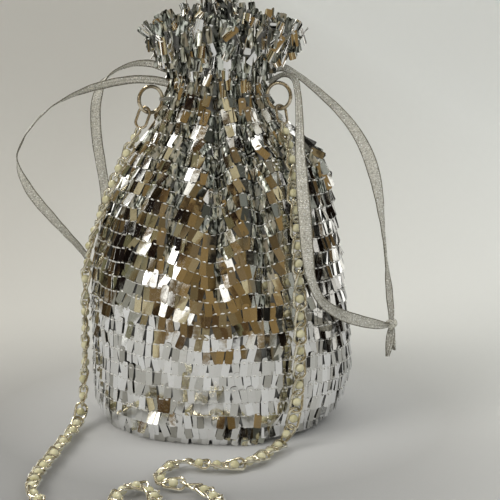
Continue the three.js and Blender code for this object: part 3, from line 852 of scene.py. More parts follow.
def metal_material(name, dark, plain, bright, metallic):
    """Polished plating with faint tarnish and fine rubbing marks."""
    return grained_material(
        name,
        grain=(170.0, 3.0, 0.6),
        stops=[(0.3, dark), (0.5, plain), (0.72, bright)],
        spans={"Roughness": (0.25, 0.75, 0.24, 0.1)},
        relief=(0.12, 0.0002),
        plain={"Metallic": metallic, "Coat Weight": 1.0, "Coat Roughness": 0.05},
        relief_grain=(1500.0, 2.0),
    )


def bead_material():
    """Ivory bead with a soft lustre."""
    return grained_material(
        "ivory_bead",
        grain=(160.0, 2.0),
        stops=[(0.3, (0.5, 0.46, 0.25)), (0.7, (0.74, 0.7, 0.48))],
        spans={"Roughness": (0.3, 0.7, 0.22, 0.12)},
        relief=(0.08, 0.0002),
        plain={
            "Subsurface Weight": 0.15,
            "Subsurface Radius": (0.001, 0.0009, 0.0006),
            "Coat Weight": 1.0,
            "Coat Roughness": 0.04,
        },
        relief_grain=(900.0, 2.0),
    )


def floor_material():
    """Pale cloth, with painted shade and light that only the eye sees. Beyond the mirrored part, glossy rays
    pass it and see the room.
    """
    material, tree, where = new_material("pale_floor")
    glossy = node(tree, "LightPath").outputs["Is Glossy Ray"]
    across = node(tree, "SeparateXYZ", {"Vector": where}).outputs["X"]
    distance = vector_node(tree, "LENGTH", {0: where}, "Value")
    mottle = span(tree, noise(tree, where, 9.0, 3.0), 0.3, 0.7, 0.0, 0.06)
    # Painted shade and light: darker round the painted shadow in front and lighter far off; both are also
    # lighter to the right than to the left
    shaded_near = mixed(tree, span(tree, across, -0.2, 0.25), (0.335, 0.33, 0.315), (0.43, 0.43, 0.42))
    shaded_near = mixed(tree, mottle, shaded_near, (0.8, 0.8, 0.8))
    lit_distant = mixed(tree, span(tree, across, -0.2, 0.4), (0.68, 0.66, 0.597), (0.93, 0.94, 0.89))
    from_painted_shadow = vector_node(tree, "DISTANCE", {0: where, 1: PAINTED_SHADOW_MIDDLE}, "Value")
    seen = mixed(tree, span(tree, from_painted_shadow, 0.05, 0.42, kind="SMOOTHSTEP"), shaded_near, lit_distant)
    # Painted light: a pale ring round the pouch's foot, standing in for light that the sequins throw onto the
    # floor
    seen = mixed(tree, span(tree, distance, 0.065, 0.13, 0.65, 0.0), seen, (0.8, 0.8, 0.78))
    dressed(material, {
        "Base Color": mixed(tree, glossy, seen, (0.6, 0.605, 0.595)),
        "Roughness": 0.9,
        "Specular IOR Level": 0.1,
        "Normal": bump(tree, noise(tree, where, 700.0, 2.0), 0.15, 0.0004),
    })
    far = span(tree, distance, MIRRORED_FLOOR, MIRRORED_FLOOR + 0.02)
    cloth = tree.nodes["Principled BSDF"].outputs[0]
    clear = node(tree, "BsdfTransparent").outputs[0]
    surface = node(tree, "MixShader", {0: product(tree, far, glossy), 1: cloth, 2: clear}).outputs[0]
    fill(tree, tree.nodes["Material Output"], {"Surface": surface})
    return material


# Camera

def make_camera():
    data = bpy.data.cameras.new("photo_camera")
    data.sensor_width = CAMERA_SENSOR
    data.lens = CAMERA_LENS
    made = new_object("photo_camera", data)
    made.location = CAMERA_PLACE
    made.rotation_euler = (math.radians(90 - CAMERA_PITCH), 0.0, math.radians(-CAMERA_TURN))
    bpy.context.scene.camera = made


# Ribbons

def ribbon_line(route):
    """Middle line of a ribbon at even steps, and the direction of its width and face there."""
    path = through_points([place for place, across in route])
    widths = through_points(unit([across for place, across in route]))
    length = lengths_along(path)[-1]
    targets = np.linspace(0, length, int(length / RIBBON_STEP) + 1)
    middle = at_lengths(path, path, targets)
    along = unit(np.gradient(middle, axis=0))
    face = unit(np.cross(along, at_lengths(path, widths, targets)))
    return middle, along, np.cross(face, along), face, length


def ribbon_relief(travel, side_share, wide):
    """Height of a ribbon's film over its middle plane: a slow cup, ripples, and pleats in the gathers."""
    cup = CUP * np.sin(travel / CUP_WAVE) * (side_share ** 2 - 0.5)
    ripple = RIPPLE * np.sin(travel / RIPPLE_WAVE) * np.cos(side_share * RIPPLE_ACROSS)
    drift = np.sin(travel / PLEAT_WAVE)
    pleats = PLEAT * (1 - wide) * np.cos(side_share * PLEATS_ACROSS * np.pi + drift)
    return cup + ripple + pleats


def ribbon_shapes(route, gathers, film, selvedge, lurex, glitter):
    """Sheer film with firm edges, cross threads and glitter, as shapes with their materials."""
    middle, along, across, face, length = ribbon_line(route)
    steps = len(middle)
    travel = np.linspace(0, length, steps)
    shares, widths = np.transpose(gathers)
    wide = smooth_lookup(shares, widths, travel / length)[:, None]
    side_share = np.linspace(-1, 1, RIBBON_COLUMNS)
    aside = side_share * wide * (RIBBON_WIDTH / 2 - SELVEDGE)
    height = ribbon_relief(travel[:, None], side_share, wide)
    top = np.stack([aside, height + RIBBON_FILM / 2], axis=2)
    bottom = np.stack([aside, height - RIBBON_FILM / 2], axis=2)
    outline = np.concatenate([bottom, top[:, ::-1]], axis=1)
    shapes = [(sweep(middle, face, outline, False), film)]
    for column in (0, -1):
        edge = middle + across * aside[:, [column]] + face * height[:, [column]]
        shapes.append((sweep(edge, face, round_outline(SELVEDGE, 5), False), selvedge))
    threads = []
    for pick in range(1, steps - 1, CROSS_EVERY):
        line = middle[pick] + across[pick] * aside[pick][:, None] + face[pick] * height[pick][:, None]
        line = line + along[pick] * rng.uniform(-CROSS_SLANT, CROSS_SLANT) * side_share[:, None]
        threads.append(sweep(line, face[pick], round_outline(CROSS_THREAD, 3), False))
    shapes.append((merged(threads), lurex))
    count = steps * FLAKES_PER_STEP
    pick = rng.integers(1, steps - 1, count)
    column = rng.integers(1, RIBBON_COLUMNS - 1, count)
    lift = height[pick, column] + rng.choice([-1, 1], count) * RIBBON_FILM
    shift = aside[pick, column] + rng.uniform(-FLAKE_SPREAD, FLAKE_SPREAD, count)
    origins = middle[pick] + across[pick] * shift[:, None] + face[pick] * lift[:, None]
    shapes.append((flakes(origins, face[pick], along[pick]), glitter))
    return shapes


def flakes(origins, face, along):
    """Specks of film near the places, each leaning its own way."""
    lean = unit(face + rng.normal(0, FLAKE_LEAN, face.shape))
    first = unit(np.cross(lean, along))
    return stamped(flake_shape(), origins, np.stack([first, np.cross(lean, first), lean], axis=1))


def flake_shape():
    """A flat lozenge with a low point on each face."""
    corners = [(FLAKE, 0, 0), (0, FLAKE, 0), (-FLAKE, 0, 0), (0, -FLAKE, 0)]
    points = np.array(corners + [(0, 0, FLAKE_HALF_THICKNESS), (0, 0, -FLAKE_HALF_THICKNESS)])
    faces = []
    for side in range(4):
        beside = (side + 1) % 4
        faces += [(side, beside, 4), (beside, side, 5)]
    return points, faces


def knot_shapes(knot, film, selvedge, lurex, glitter, gathered):
    """A pleated strand tied in a small knot, with the ribbon's two tails below it."""
    turn = np.linspace(0, 2 * np.pi, KNOT_STEPS, endpoint=False)
    tie = np.stack([
        np.sin(turn) + 2 * np.sin(2 * turn),
        -np.sin(3 * turn),
        np.cos(turn) - 2 * np.cos(2 * turn),
    ], axis=1) * KNOT_REACH
    angles = np.linspace(0, 2 * np.pi, KNOT_PLEATS * 4, endpoint=False)
    radius = KNOT_STRAND * (1 - KNOT_PLEAT_DEPTH * (1 - np.cos(KNOT_PLEATS * angles)))
    outline = round_outline(radius, len(angles)) * KNOT_FLATNESS
    angle = math.radians(knot["turn"])
    spin = np.array([
        (math.cos(angle), -math.sin(angle), 0), (math.sin(angle), math.cos(angle), 0), (0, 0, 1),
    ])
    at = np.array(knot["at"])
    strand, faces = sweep(tie, (0, 1, 0), outline, True)
    strand = strand @ spin.T + at
    picks = rng.integers(0, len(strand), KNOT_FLAKES)
    specks = flakes(strand[picks], unit(strand[picks] - at), spin[2])
    shapes = [((strand, faces), gathered), (specks, glitter)]
    for length, side in zip(knot["tails"], (-1, 1)):
        local = (
            ((0, 0, -TAIL_START_DROP), (1, 0, 0)),
            ((side * TAIL_SIDE, side * TAIL_SIDE, -length / 2), (1, side / 2, 0)),
            ((side * TAIL_SPREAD, side * TAIL_SIDE, -length), (1, side, 0)),
        )
        route = [(spin @ np.array(place) + at, spin @ np.array(across)) for place, across in local]
        shapes.extend(ribbon_shapes(route, TAIL_GATHERS, film, selvedge, lurex, glitter))
    return shapes


def make_drawstrings():
    """Knots and ribbon strands, each strand run on into its knot."""
    woven = (
        organza_material("ribbon_organza", 0.0, (0.6, 0.58, 0.5), (0.93, 0.91, 0.83)),
        lurex_material("ribbon_selvedge", (0.09, 0.082, 0.06), (0.33, 0.31, 0.24)),
        lurex_material("ribbon_lurex", (0.24, 0.225, 0.175), (0.62, 0.6, 0.52)),
        glitter_material(),
    )
    gathered = organza_material("ribbon_gathered", 0.6, (0.3, 0.285, 0.225), (0.78, 0.76, 0.67))
    knots = {}
    for name, knot in KNOTS.items():
        knots[name] = piece(name + "_tied", knot_shapes(knot, *woven, gathered))
        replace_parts(knots[name], name)
    for name, route in RIBBONS.items():
        knot = "knot_" + name.split("_")[1]
        into_knot = route + ((KNOTS[knot]["at"], route[-1][1]),)
        made = piece(name + "_woven", ribbon_shapes(into_knot, RIBBON_GATHERS[name], *woven))
        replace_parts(made, name)
        [knots.pop(knot)] if knot in knots else []


# Pouch

def folds_beside(azimuth):
    """Numbers of the valleys on either side of an azimuth, and the share of the way between them."""
    valleys = FOLD["azimuth"]
    wrapped = valleys[0] + np.mod(azimuth - valleys[0], 360)
    before = np.searchsorted(valleys, wrapped, side="right") - 1
    after = (before + 1) % len(valleys)
    gap = np.mod(valleys[after] - valleys[before], 360)
    return before, after, (wrapped - valleys[before]) / gap


def valley_depth(fold, z):
    """Depth of valleys by their numbers: from the neck up to the rim, and down over the shoulder."""
    neck, shoulder, rim, reach = (FOLD[name][fold] for name in ("neck", "shoulder", "rim", "reach"))
    above = neck + (rim - neck) * step_between(z, NECK_HEIGHT, RIM_HEIGHT)
    down = NECK_HEIGHT - z
    upper = neck + (shoulder - neck) * down / SHOULDER_DROP
    lower = shoulder * (1 - step_between(down, SHOULDER_DROP, reach))
    return np.where(z >= NECK_HEIGHT, above, np.where(down < SHOULDER_DROP, upper, lower))


def fold_at(azimuth, z):
    """Depth of the folds at places, and each place's share of the way from one valley to the next."""
    before, after, share = folds_beside(azimuth)
    return valley_depth(before, z) * (1 - share) + valley_depth(after, z) * share, share


def fold_sink(azimuth, z):
    """Millimetres that the wall lies below its ridges, and its swell from 0 in a valley to 1 on a ridge."""
    depth, share = fold_at(azimuth, z)
    swell = 1 - np.abs(2 * share - 1) ** RIDGE_FLATNESS
    return depth * (1 - swell), swell


def wall_points(azimuth, z, inset):
    """Points of the pouch's wall, in metres, for azimuths in degrees and heights in millimetres."""
    azimuth, z = np.broadcast_arrays(np.asarray(azimuth, float), np.asarray(z, float))
    sides = ("left", "right", "front", "back")
    left, right, front, back = (smooth_lookup(SECTION["z"], SECTION[side], z) for side in sides)
    x, y = np.sin(np.radians(azimuth)), -np.cos(np.radians(azimuth))
    ridge = 1 / np.hypot(x / np.where(x > 0, right, left), y / np.where(y < 0, front, back))
    sink, swell = fold_sink(azimuth, z)
    up = np.clip((z - NECK_HEIGHT) / (RIM_HEIGHT - NECK_HEIGHT), 0, 1)
    inset = inset + RUFFLE_INSET * smooth_step(up * RUFFLE_INSET_PACE)
    full = step_between(z, *FULL_RISE) * step_between(z, *FULL_FALL)
    radius = ridge - sink - (inset - SIDE_FULLNESS * full * x * x) / MM
    height = z - up * up * (SIDE_DROOP * np.abs(x) + LOBE_DROOP * swell - BACK_RISE * np.maximum(0, y))
    return np.stack([radius * x, radius * y, height], axis=-1) * MM


def make_cloth():
    """One closed shell: outside from the middle of the base to the rim, and back down the inside."""
    azimuths = np.linspace(-180, 180, CLOTH_COLUMNS, endpoint=False)
    heights = np.linspace(BASE_THICKNESS, RIM_HEIGHT, CLOTH_RINGS)
    outside = wall_points(azimuths, np.concatenate([BASE_EDGE, heights])[:, None], INSET)
    inside = wall_points(azimuths, heights[:, None], INSET + WALL)
    rim = (outside[-1] + inside[-1]) / 2 + (0, 0, WALL / 2)
    rings = [outside[0] * (share, share, 1) for share in BASE_RINGS]
    rings += [*outside, rim, *inside[::-1]]
    rings += [inside[0] * (share, share, 1) for share in BASE_RINGS[::-1]]
    shell = closed_shell(np.array(rings), (0, 0, 0), (0, 0, BASE_THICKNESS * MM))
    made = piece("pouch_cloth", [(shell, cloth_material())])
    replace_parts(made, "pouch")
    return made


# Sequins

def plate_shape(bend, twist):
    """One sequin round its hole, slightly bent: x across, y up the plate, z out. Its normals come with it."""
    half = PLATE_WIDTH / 2
    top, tip = HOLE_FROM_TOP, HOLE_FROM_TOP - PLATE_LENGTH
    outline = []
    corners = (
        (half - PLATE_TOP_CORNER, top - PLATE_TOP_CORNER, PLATE_TOP_CORNER, 0, 4),
        (PLATE_TOP_CORNER - half, top - PLATE_TOP_CORNER, PLATE_TOP_CORNER, 90, 4),
        (PLATE_TIP_CORNER - half, tip + PLATE_TIP_CORNER, PLATE_TIP_CORNER, 180, 2),
        (half - PLATE_TIP_CORNER, tip + PLATE_TIP_CORNER, PLATE_TIP_CORNER, 270, 2),
    )
    for x, y, radius, start, count in corners:
        for angle in np.radians(np.linspace(start, start + 90, count)):
            outline.append((x + radius * math.cos(angle), y + radius * math.sin(angle)))
    hole = round_outline(HOLE_RADIUS, HOLE_SIDES)[::-1].tolist()
    flat = np.array(outline + hole)
    triangles = tessellate_polygon([[(x, y, 0) for x, y in outline], [(x, y, 0) for x, y in hole]])
    count = len(flat)
    across, upward = flat[:, 0], flat[:, 1]
    rise = twist * across * upward - bend * MM * (across / half) ** 2
    front = np.column_stack([flat, rise + PLATE_THICKNESS / 2])
    back = np.column_stack([flat, rise - PLATE_THICKNESS / 2])
    slope_across = twist * upward - 2 * bend * MM * across / half ** 2
    normals = unit(np.column_stack([-slope_across, -twist * across, np.ones(count)]))
    faces = []
    for first, second, third in triangles:
        one, two = flat[second] - flat[first], flat[third] - flat[first]
        if one[0] * two[1] - one[1] * two[0] < 0:
            second, third = third, second
        faces.append((first, second, third))
        faces.append((first + count, third + count, second + count))
    for start, end in ((0, len(outline)), (len(outline), count)):
        for corner in range(start, end):
            beside = corner + 1 if corner + 1 < end else start
            faces.append((corner + count, beside + count, beside, corner))
    return (np.vstack([front, back]), faces), np.vstack([normals, -normals])


def sewing_rows():
    """Rows of sewing places: points on the cloth, and the directions up the wall there."""
    azimuths = np.linspace(-180, 180, ROW_COLUMNS, endpoint=False)
    levels = np.linspace(0, RIM_HEIGHT, ROW_LEVELS)
    wall = wall_points(azimuths[:, None], levels[None, :], INSET)
    steps = np.linalg.norm(np.diff(wall, axis=1), axis=2)
    climbed = np.concatenate([np.zeros((ROW_COLUMNS, 1)), np.cumsum(steps, axis=1)], axis=1)
    mean = climbed[:, -1].mean()
    count = int((mean - FIRST_ROW - LAST_ROW_MARGIN) / ROW_PITCH) + 1
    shares = np.linspace(FIRST_ROW, mean - LAST_ROW_MARGIN, count) / mean
    upward = unit(np.gradient(wall, axis=1))
    rows = np.zeros((count, ROW_COLUMNS, 3))
    up = np.zeros((count, ROW_COLUMNS, 3))
    for column in range(ROW_COLUMNS):
        reached = climbed[column] / climbed[column, -1]
        droop = row_droop(azimuths[column], np.interp(shares, reached, levels))
        lowered = shares - droop * MM / climbed[column, -1]
        for axis in range(3):
            rows[:, column, axis] = np.interp(lowered, reached, wall[column, :, axis])
            up[:, column, axis] = np.interp(lowered, reached, upward[column, :, axis])
    return rows, unit(up)


def row_droop(azimuth, z):
    """How far the rows hang below their level at one azimuth, in millimetres, for heights in millimetres."""
    depth, share = fold_at(azimuth, z)
    below_neck = 1 - step_between(z, NECK_HEIGHT, NECK_HEIGHT + SAG_ENDS)
    sag = VALLEY_SAG * depth * (1 - np.sin(np.pi * share)) * below_neck
    swag = smooth_lookup(DROOP["azimuth"], DROOP["droop"], np.array([azimuth]))[0]
    return sag + swag * np.interp(z, DROOP_SHARE["z"], DROOP_SHARE["share"])


def even_places(line, count):
    """Places round a closed line at nearly even distances, as numbers along its columns."""
    closed = np.vstack([line, line[:1]])
    along = lengths_along(closed)
    gap = along[-1] / count
    targets = (np.arange(count) + rng.uniform(0, 1)) * gap + rng.normal(0, PLACE_SPREAD, count) * gap
    return np.interp(np.mod(targets, along[-1]), along, np.arange(len(closed)))


def read_round(values, at):
    """Values of a closed line, read between its columns."""
    low = np.floor(at).astype(int)
    share = (at - low)[:, None]
    size = len(values)
    return values[low % size] * (1 - share) + values[(low + 1) % size] * share


def eased(vectors):
    """Evens out directions between neighbours in a row."""
    return unit(np.roll(vectors, 1, axis=0) + 4 * vectors + np.roll(vectors, -1, axis=0))


def grouped(count, size):
    """Random values that neighbours share: they drift over a few places along a row."""
    knots = rng.normal(0, 1, count // size + 1)
    return np.interp(np.arange(count) / size, np.arange(len(knots)), knots)


def spread_at(name, height):
    return np.interp(height / MM, SPREAD["z"], SPREAD[name])


def patch_at(name, places_on_cloth):
    """Sum of a patch value over the patches that each place lies in."""
    aside = np.mod(azimuth_of(places_on_cloth)[:, None] - PATCH["azimuth"] + 180, 360) - 180
    above = places_on_cloth[:, 2:] / MM - PATCH["z"]
    inside = np.hypot(aside / PATCH["wide"], above / PATCH["high"]) < 1
    return (inside * PATCH[name]).sum(axis=1)


def scatter(height, group, size, share):
    """Random values of one row: partly shared by a few neighbours, and in the ruffle by whole groups."""
    count = len(height)
    together = spread_at("together", height)
    free = share * grouped(count, size) + math.sqrt(1 - share ** 2) * rng.normal(0, 1, count)
    return GROUP_PULL * group * together + free * (1 - GROUP_CALM * together)


def hang_plates(places_on_cloth, along, up, out, groups):
    """Origins and axes of the sequins of one row: they hang from their holes and lean on the row below."""
    count = len(places_on_cloth)
    height = places_on_cloth[:, 2]
    plumb = np.clip(-out[:, 2] * OVERHANG_PULL, 0, MOST_PLUMB)[:, None]
    up = unit(up * (1 - plumb) + np.array([0, 0, 1]) * plumb)
    up = square_to(up, along, SQUARE_TO_ROW)
    along = square_to(along, up)
    out = np.cross(along, up)
    loose = 1 + patch_at("loose", places_on_cloth)
    tilt, turn, swing = (
        loose * spread_at(name, height) * scatter(height, groups[name], size, share)
        for name, (size, share) in PLATE_TURNS.items()
    )
    tilt = tilt + spread_at("lean", height) + patch_at("lean", places_on_cloth)
    turn = turn + patch_at("turn", places_on_cloth)
    along, out = turned(along, out, turn)
    along, up = turned(along, up, swing)
    out, up = turned(out, up, tilt)
    lift = PLATE_LIFT + rng.uniform(0, LIFT_SPREAD, count)
    lift = lift + (rng.uniform(0, 1, count) < RIDING_SHARE) * RIDING_LIFT
    origins = places_on_cloth + out * lift[:, None]
    tip = origins - up * (PLATE_LENGTH - HOLE_FROM_TOP)
    origins[:, 2] += np.maximum(0, GROUND_CLEARANCE - tip[:, 2])
    return origins, np.stack([along, up, out], axis=1)


def edge_scatter(count):
    """Random directions along the ruffle's edge, partly shared by neighbours."""
    drift = np.stack([grouped(count, GROUP_SIZE - 2) for axis in range(3)], axis=1)
    return EDGE_SPREAD * (drift + EDGE_FREE * rng.normal(0, 1, (count, 3)))


def edge_plates(rim, up, out, below, count, upward, outward):
    """Origins and axes of loose sequins that cover the ruffle's edge; outward below 0 hangs them inside."""
    at = even_places(rim, count)
    place, up, out = read_round(rim, at), unit(read_round(up, at)), unit(read_round(out, at))
    side = 1 if outward > 0 else -1
    face = unit(out * side + edge_scatter(count))
    tip = square_to(up * upward + out * outward + edge_scatter(count), face, EDGE_FLATNESS)
    along = unit(np.cross(face, tip))
    face = np.cross(tip, along)
    inside = 0 if side > 0 else WALL + PLATE_LIFT
    origins = place - up * (below * MM - LAST_ROW_MARGIN) + out * (side * PLATE_LIFT - inside)
    reach = origins + tip * (PLATE_LENGTH - HOLE_FROM_TOP)
    origins[:, 2] -= np.maximum(0, reach[:, 2] - HIGHEST_TIP)
    return origins, np.stack([along, -tip, face], axis=1)


def stitch_shape():
    """A short stitch: a small rounded lozenge, long across the plate."""
    rings = []
    for polar in np.linspace(math.pi, 0, STITCH_RINGS + 1)[1:-1]:
        outline = round_outline(math.sin(polar), STITCH_SIDES)
        rings.append(np.column_stack([outline, np.full(STITCH_SIDES, math.cos(polar))]))
    points, faces = closed_shell(np.array(rings), (0, 0, -1), (0, 0, 1))
    return points * STITCH_HALF, faces


def valley_sink(places_on_cloth):
    """How far places on the cloth lie below the ridges of the folds, in millimetres."""
    return fold_sink(azimuth_of(places_on_cloth), places_on_cloth[:, 2] / MM)[0]


def plate_tints(places_on_cloth):
    """Tints of sequins: plain ones, and above them those that are crumpled."""
    count = len(places_on_cloth)
    height = places_on_cloth[:, 2] / MM
    sunk = valley_sink(places_on_cloth)
    in_valley = CRUMPLED_VALLEY * step_between(sunk, *CRUMPLED_DEPTHS)
    in_neck = CRUMPLED_NECK * step_between(height, *CRUMPLED_HEIGHTS)
    dark = step_between(sunk, *DARK_DEPTHS) * step_between(height, *DARK_HEIGHTS)
    light = np.sqrt(rng.uniform(0, 1, count)) * (1 - DARKENING * dark)
    on_body, in_ruffle = np.interp(light, (0, 1), BODY_LIGHTS), np.interp(light, (0, 1), NECK_LIGHTS)
    light = np.where(height < NECK_TINTS_FROM, on_body, in_ruffle)
    crumpled = rng.uniform(0, 1, count) < np.maximum(in_valley, in_neck)
    plain = rng.uniform(*PLAIN_TINTS, count)
    plain = np.where(height < NECK_HEIGHT, plain, np.interp(plain, (0, 1), RUFFLE_TINTS))
    return np.where(crumpled, np.interp(light, (0, 1), CRUMPLED_TINTS), plain)


def make_sequins():
    """Rows of sequins with their stitches, in three pieces each from the base to the ruffle's edge."""
    rows, ups = sewing_rows()
    film = sequin_material()
    thread = thread_material("white_thread", (0.8, 0.79, 0.74), (0.95, 0.94, 0.9))
    stitch = stitch_shape()
    thirds = {name: ([], []) for name in ("lower", "middle", "upper")}
    ruffle_groups = {name: grouped(ROW_PLATES, GROUP_SIZE) for name in PLATE_TURNS}
    for number, (line, up) in enumerate(zip(rows, ups)):
        plates, stitches = list(thirds.values())[number * len(thirds) // len(rows)]
        at = np.sort(even_places(line, ROW_PLATES))
        round_line = unit(np.roll(line, -1, axis=0) - np.roll(line, 1, axis=0))
        outward = unit(np.cross(round_line, up))
        place = read_round(line, at)
        along, above, out = (eased(unit(read_round(each, at))) for each in (round_line, up, outward))
        in_ruffle = line[:, 2].mean() > RUFFLE_FROM
        if in_ruffle:
            place = place + above * rng.normal(0, RUFFLE_DISORDER, (len(place), 1))
        origins, axes = hang_plates(place, along, above, out, ruffle_groups)
        plates.append((origins, axes))
        seat = origins + axes[:, 2] * (PLATE_THICKNESS + STITCH_HALF[2] / 2) + axes[:, 1] * STITCH_RISE
        hidden = STITCHES_HIDDEN * step_between(valley_sink(place), *HIDING_DEPTHS)
        seen = rng.uniform(0, 1, len(place)) > hidden
        stitches.append(stamped(stitch, seat[seen], axes[seen]))
        if not in_ruffle:
            between = (place + np.roll(place, -1, axis=0)) / 2 + out * PLATE_LIFT
            thread_line = np.stack([seat, between], axis=1).reshape(-1, 3)
            thread_out = np.repeat(out, 2, axis=0)
            stitches.append(sweep(thread_line, thread_out, round_outline(ROW_THREAD, 4), True))
    for edge_row in EDGE_ROWS:
        plates.append(edge_plates(line, up, outward, *edge_row))
    for name, (plates, stitches) in thirds.items():
        origins = np.vstack([origin for origin, axes in plates])
        axes = np.concatenate([axes for origin, axes in plates])
        plates_piece("sequins_" + name, origins, axes, film)
        piece("stitches_" + name, [(merged(stitches), thread)])


def plates_piece(name, origins, axes, film):
    """One piece of many sequins: each is one of the bent shapes, with its own tint."""
    kinds = rng.integers(0, len(PLATE_BENDS), len(origins))
    plate_tint = plate_tints(origins)
    curved = (plate_tint > CRUMPLED_TINT) | (origins[:, 2] > CURVED_FROM)
    kinds = kinds + len(PLATE_BENDS) * curved
    shapes, normals, tints = [], [], []
    for kind, (bend, twist) in enumerate(PLATE_BENDS + CURVED_BENDS):
        plate, plate_normals = plate_shape(bend, twist)
        chosen = kinds == kind
        shapes.append(stamped(plate, origins[chosen], axes[chosen]))
        normals.append(np.einsum("pk,nkc->npc", plate_normals, axes[chosen]).reshape(-1, 3))
        tints.append(np.repeat(plate_tint[chosen], len(plate_normals)))
    made = piece(name, [(merged(shapes), film)], tints=np.concatenate(tints))
    made.data.normals_split_custom_set_from_vertices(np.vstack(normals).tolist())
    return made


# Rings, links, loops and chain

def circle_path(radius, steps):
    return np.column_stack([round_outline(radius, steps), np.zeros(steps)])


def oval_path(length, width, steps):
    """A closed oval along x: two half circles drawn apart."""
    path = circle_path(width / 2, steps)
    path[:, 0] += np.sign(path[:, 0]) * (length - width) / 2
    return path


def oval_shape(length, width, wire, twist, steps=40, sides=8):
    """An oval wire link of the given outer size, twisted along its length."""
    path = oval_path(length - 2 * wire, width - 2 * wire, steps)
    angle = np.radians(twist) * path[:, 0] / (length / 2)
    flat_y = path[:, 1].copy()
    path[:, 1] = flat_y * np.cos(angle)
    path[:, 2] = flat_y * np.sin(angle)
    normals = np.stack([np.zeros(steps), -np.sin(angle), np.cos(angle)], axis=1)
    return sweep(path, normals, round_outline(wire, sides), True)


def placed(shape, origin, x_axis, y_axis):
    points, faces = shape
    x_axis, y_axis = unit(x_axis), unit(y_axis)
    axes = np.stack([x_axis, y_axis, np.cross(x_axis, y_axis)])
    return points @ axes + np.asarray(origin), faces


def make_hangers(metal, thread):
    """A ring, a link and a loop of thread on each side of the neck."""
    upright = np.array([0.0, 0.0, 1.0])
    ring = sweep(circle_path(RING_RADIUS, RING_STEPS), upright, round_outline(RING_WIRE, RING_SIDES), True)
    link = oval_shape(LINK_LENGTH, LINK_WIDTH, LINK_WIRE, 0)
    for side, hanger in HANGERS.items():
        centre = np.array(hanger["ring"])
        out = unit(centre * (1, 1, 0))
        angle = math.radians(hanger["hang"])
        wire = centre + RING_RADIUS * (out * math.cos(angle) - upright * math.sin(angle))
        up = unit(hanger["up"])
        place = wire - up * (LINK_LENGTH / 2 - 2 * LINK_WIRE - RING_WIRE - GAP)
        flat = unit(np.cross(out, up))
        flat = turned(flat, np.cross(up, flat), hanger["turn"])[0]
        pieces = (
            ("ring_" + side, "_round", placed(ring, centre, out, upright), metal, "metal"),
            ("link_" + side, "_oval", placed(link, place, up, flat), metal, "metal"),
            ("ring_loop_" + side, "_thread", loop_shape(centre, out), thread, "thread"),
        )
        for name, ending, shape, material, slot in pieces:
            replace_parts(piece(name + ending, [(shape, material)]), name)


def loop_shape(centre, out):
    """Two strands of thread from the cloth, round the ring's inner side and back."""
    beside = np.array([-out[1], out[0], 0.0])
    wall = np.linalg.norm(wall_points(azimuth_of(out), centre[2] / MM, INSET)[:2])
    wire = np.linalg.norm(centre[:2]) - RING_RADIUS
    half = RING_WIRE + LOOP_THREAD + GAP
    leg = ((wall, half), ((wall + wire) / 2, half), (wire, half))
    stations = [(reach, -aside) for reach, aside in leg] + [(wire + half, 0)] + list(leg[::-1])
    strands = []
    for level in (-LOOP_LEVEL, LOOP_LEVEL):
        middle = np.array([0, 0, centre[2] + level])
        line = through_points([middle + out * reach + beside * aside for reach, aside in stations], 8)
        strands.append(sweep(line, (0, 0, 1), round_outline(LOOP_THREAD, 8), False))
    return merged(strands)


def bead_shape(steps=12, sides=14):
    """A round bead along x with its drilled hole dimpled at both ends."""
    start = math.asin(BEAD_HOLE / BEAD_RADIUS)
    polar = np.linspace(start, math.pi - start, steps)
    round_part = [(BEAD_RADIUS * math.cos(angle), BEAD_RADIUS * math.sin(angle)) for angle in polar]
    reach, radius = BEAD_DIMPLE
    profile = [(reach, radius)] + round_part + [(-reach, radius)]
    points = [(x, y, z) for x, radius in profile for y, z in round_outline(radius, sides)]
    faces = band_faces(len(profile), sides)
    faces.append(tuple(range(sides - 1, -1, -1)))
    faces.append(tuple(range(len(points) - sides, len(points))))
    return np.array(points), faces


def make_chain(metal, ivory):
    """Links along each stretch, lying over to each side in turn, with a bead in each but a few."""
    link = oval_shape(CHAIN_LINK_LENGTH, CHAIN_LINK_WIDTH, CHAIN_WIRE, CHAIN_TWIST, CHAIN_LINK_STEPS)
    bead = bead_shape()
    missing = np.array(MISSING_BEADS)
    for name, route in CHAINS.items():
        path = through_points(route)
        length = lengths_along(path)[-1]
        count = int(round(length / CHAIN_PITCH))
        targets = (np.arange(count) + 0.5) * length / count
        middle = at_lengths(path, path, targets)
        along = unit(at_lengths(path, np.gradient(path, axis=0), targets))
        lying = step_between(middle[:, 2], *CHAIN_LIES)[:, None]
        face = unit(unit(middle * (1, 1, 0)) * (1 - lying) + np.array([0, 0, 1.0]) * lying)
        across = unit(np.cross(face, along))
        face = np.cross(along, across)
        sway = rng.normal(0, CHAIN_SPREAD, count) + CHAIN_SWAY * (-1) ** np.arange(count)
        across, face = turned(across, face, sway)
        axes = np.stack([along, across, face], axis=1)
        made = piece(name + "_links", [(stamped(link, middle, axes), metal)])
        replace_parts(made, name)
        gaps = np.linalg.norm(middle[:, None, :2] - missing[None], axis=2).min(axis=1)
        kept = (gaps > MISSING_REACH) | (middle[:, 2] > 2 * LYING)
        beads = middle + face * rng.normal(0, BEAD_SPREAD, (count, 1))
        piece(name + "_beads", [(stamped(bead, beads[kept], axes[kept]), ivory)])


# Stage, light and world

def make_stage():
    half = FLOOR_SIZE / 2
    corners = [(-half, -half, 0), (half, -half, 0), (half, half, 0), (-half, half, 0)]
    mesh = bpy.data.meshes.new("floor")
    mesh.from_pydata(corners, [], [(0, 1, 2, 3)])
    mesh.materials.append(floor_material())
    new_object("floor", mesh)


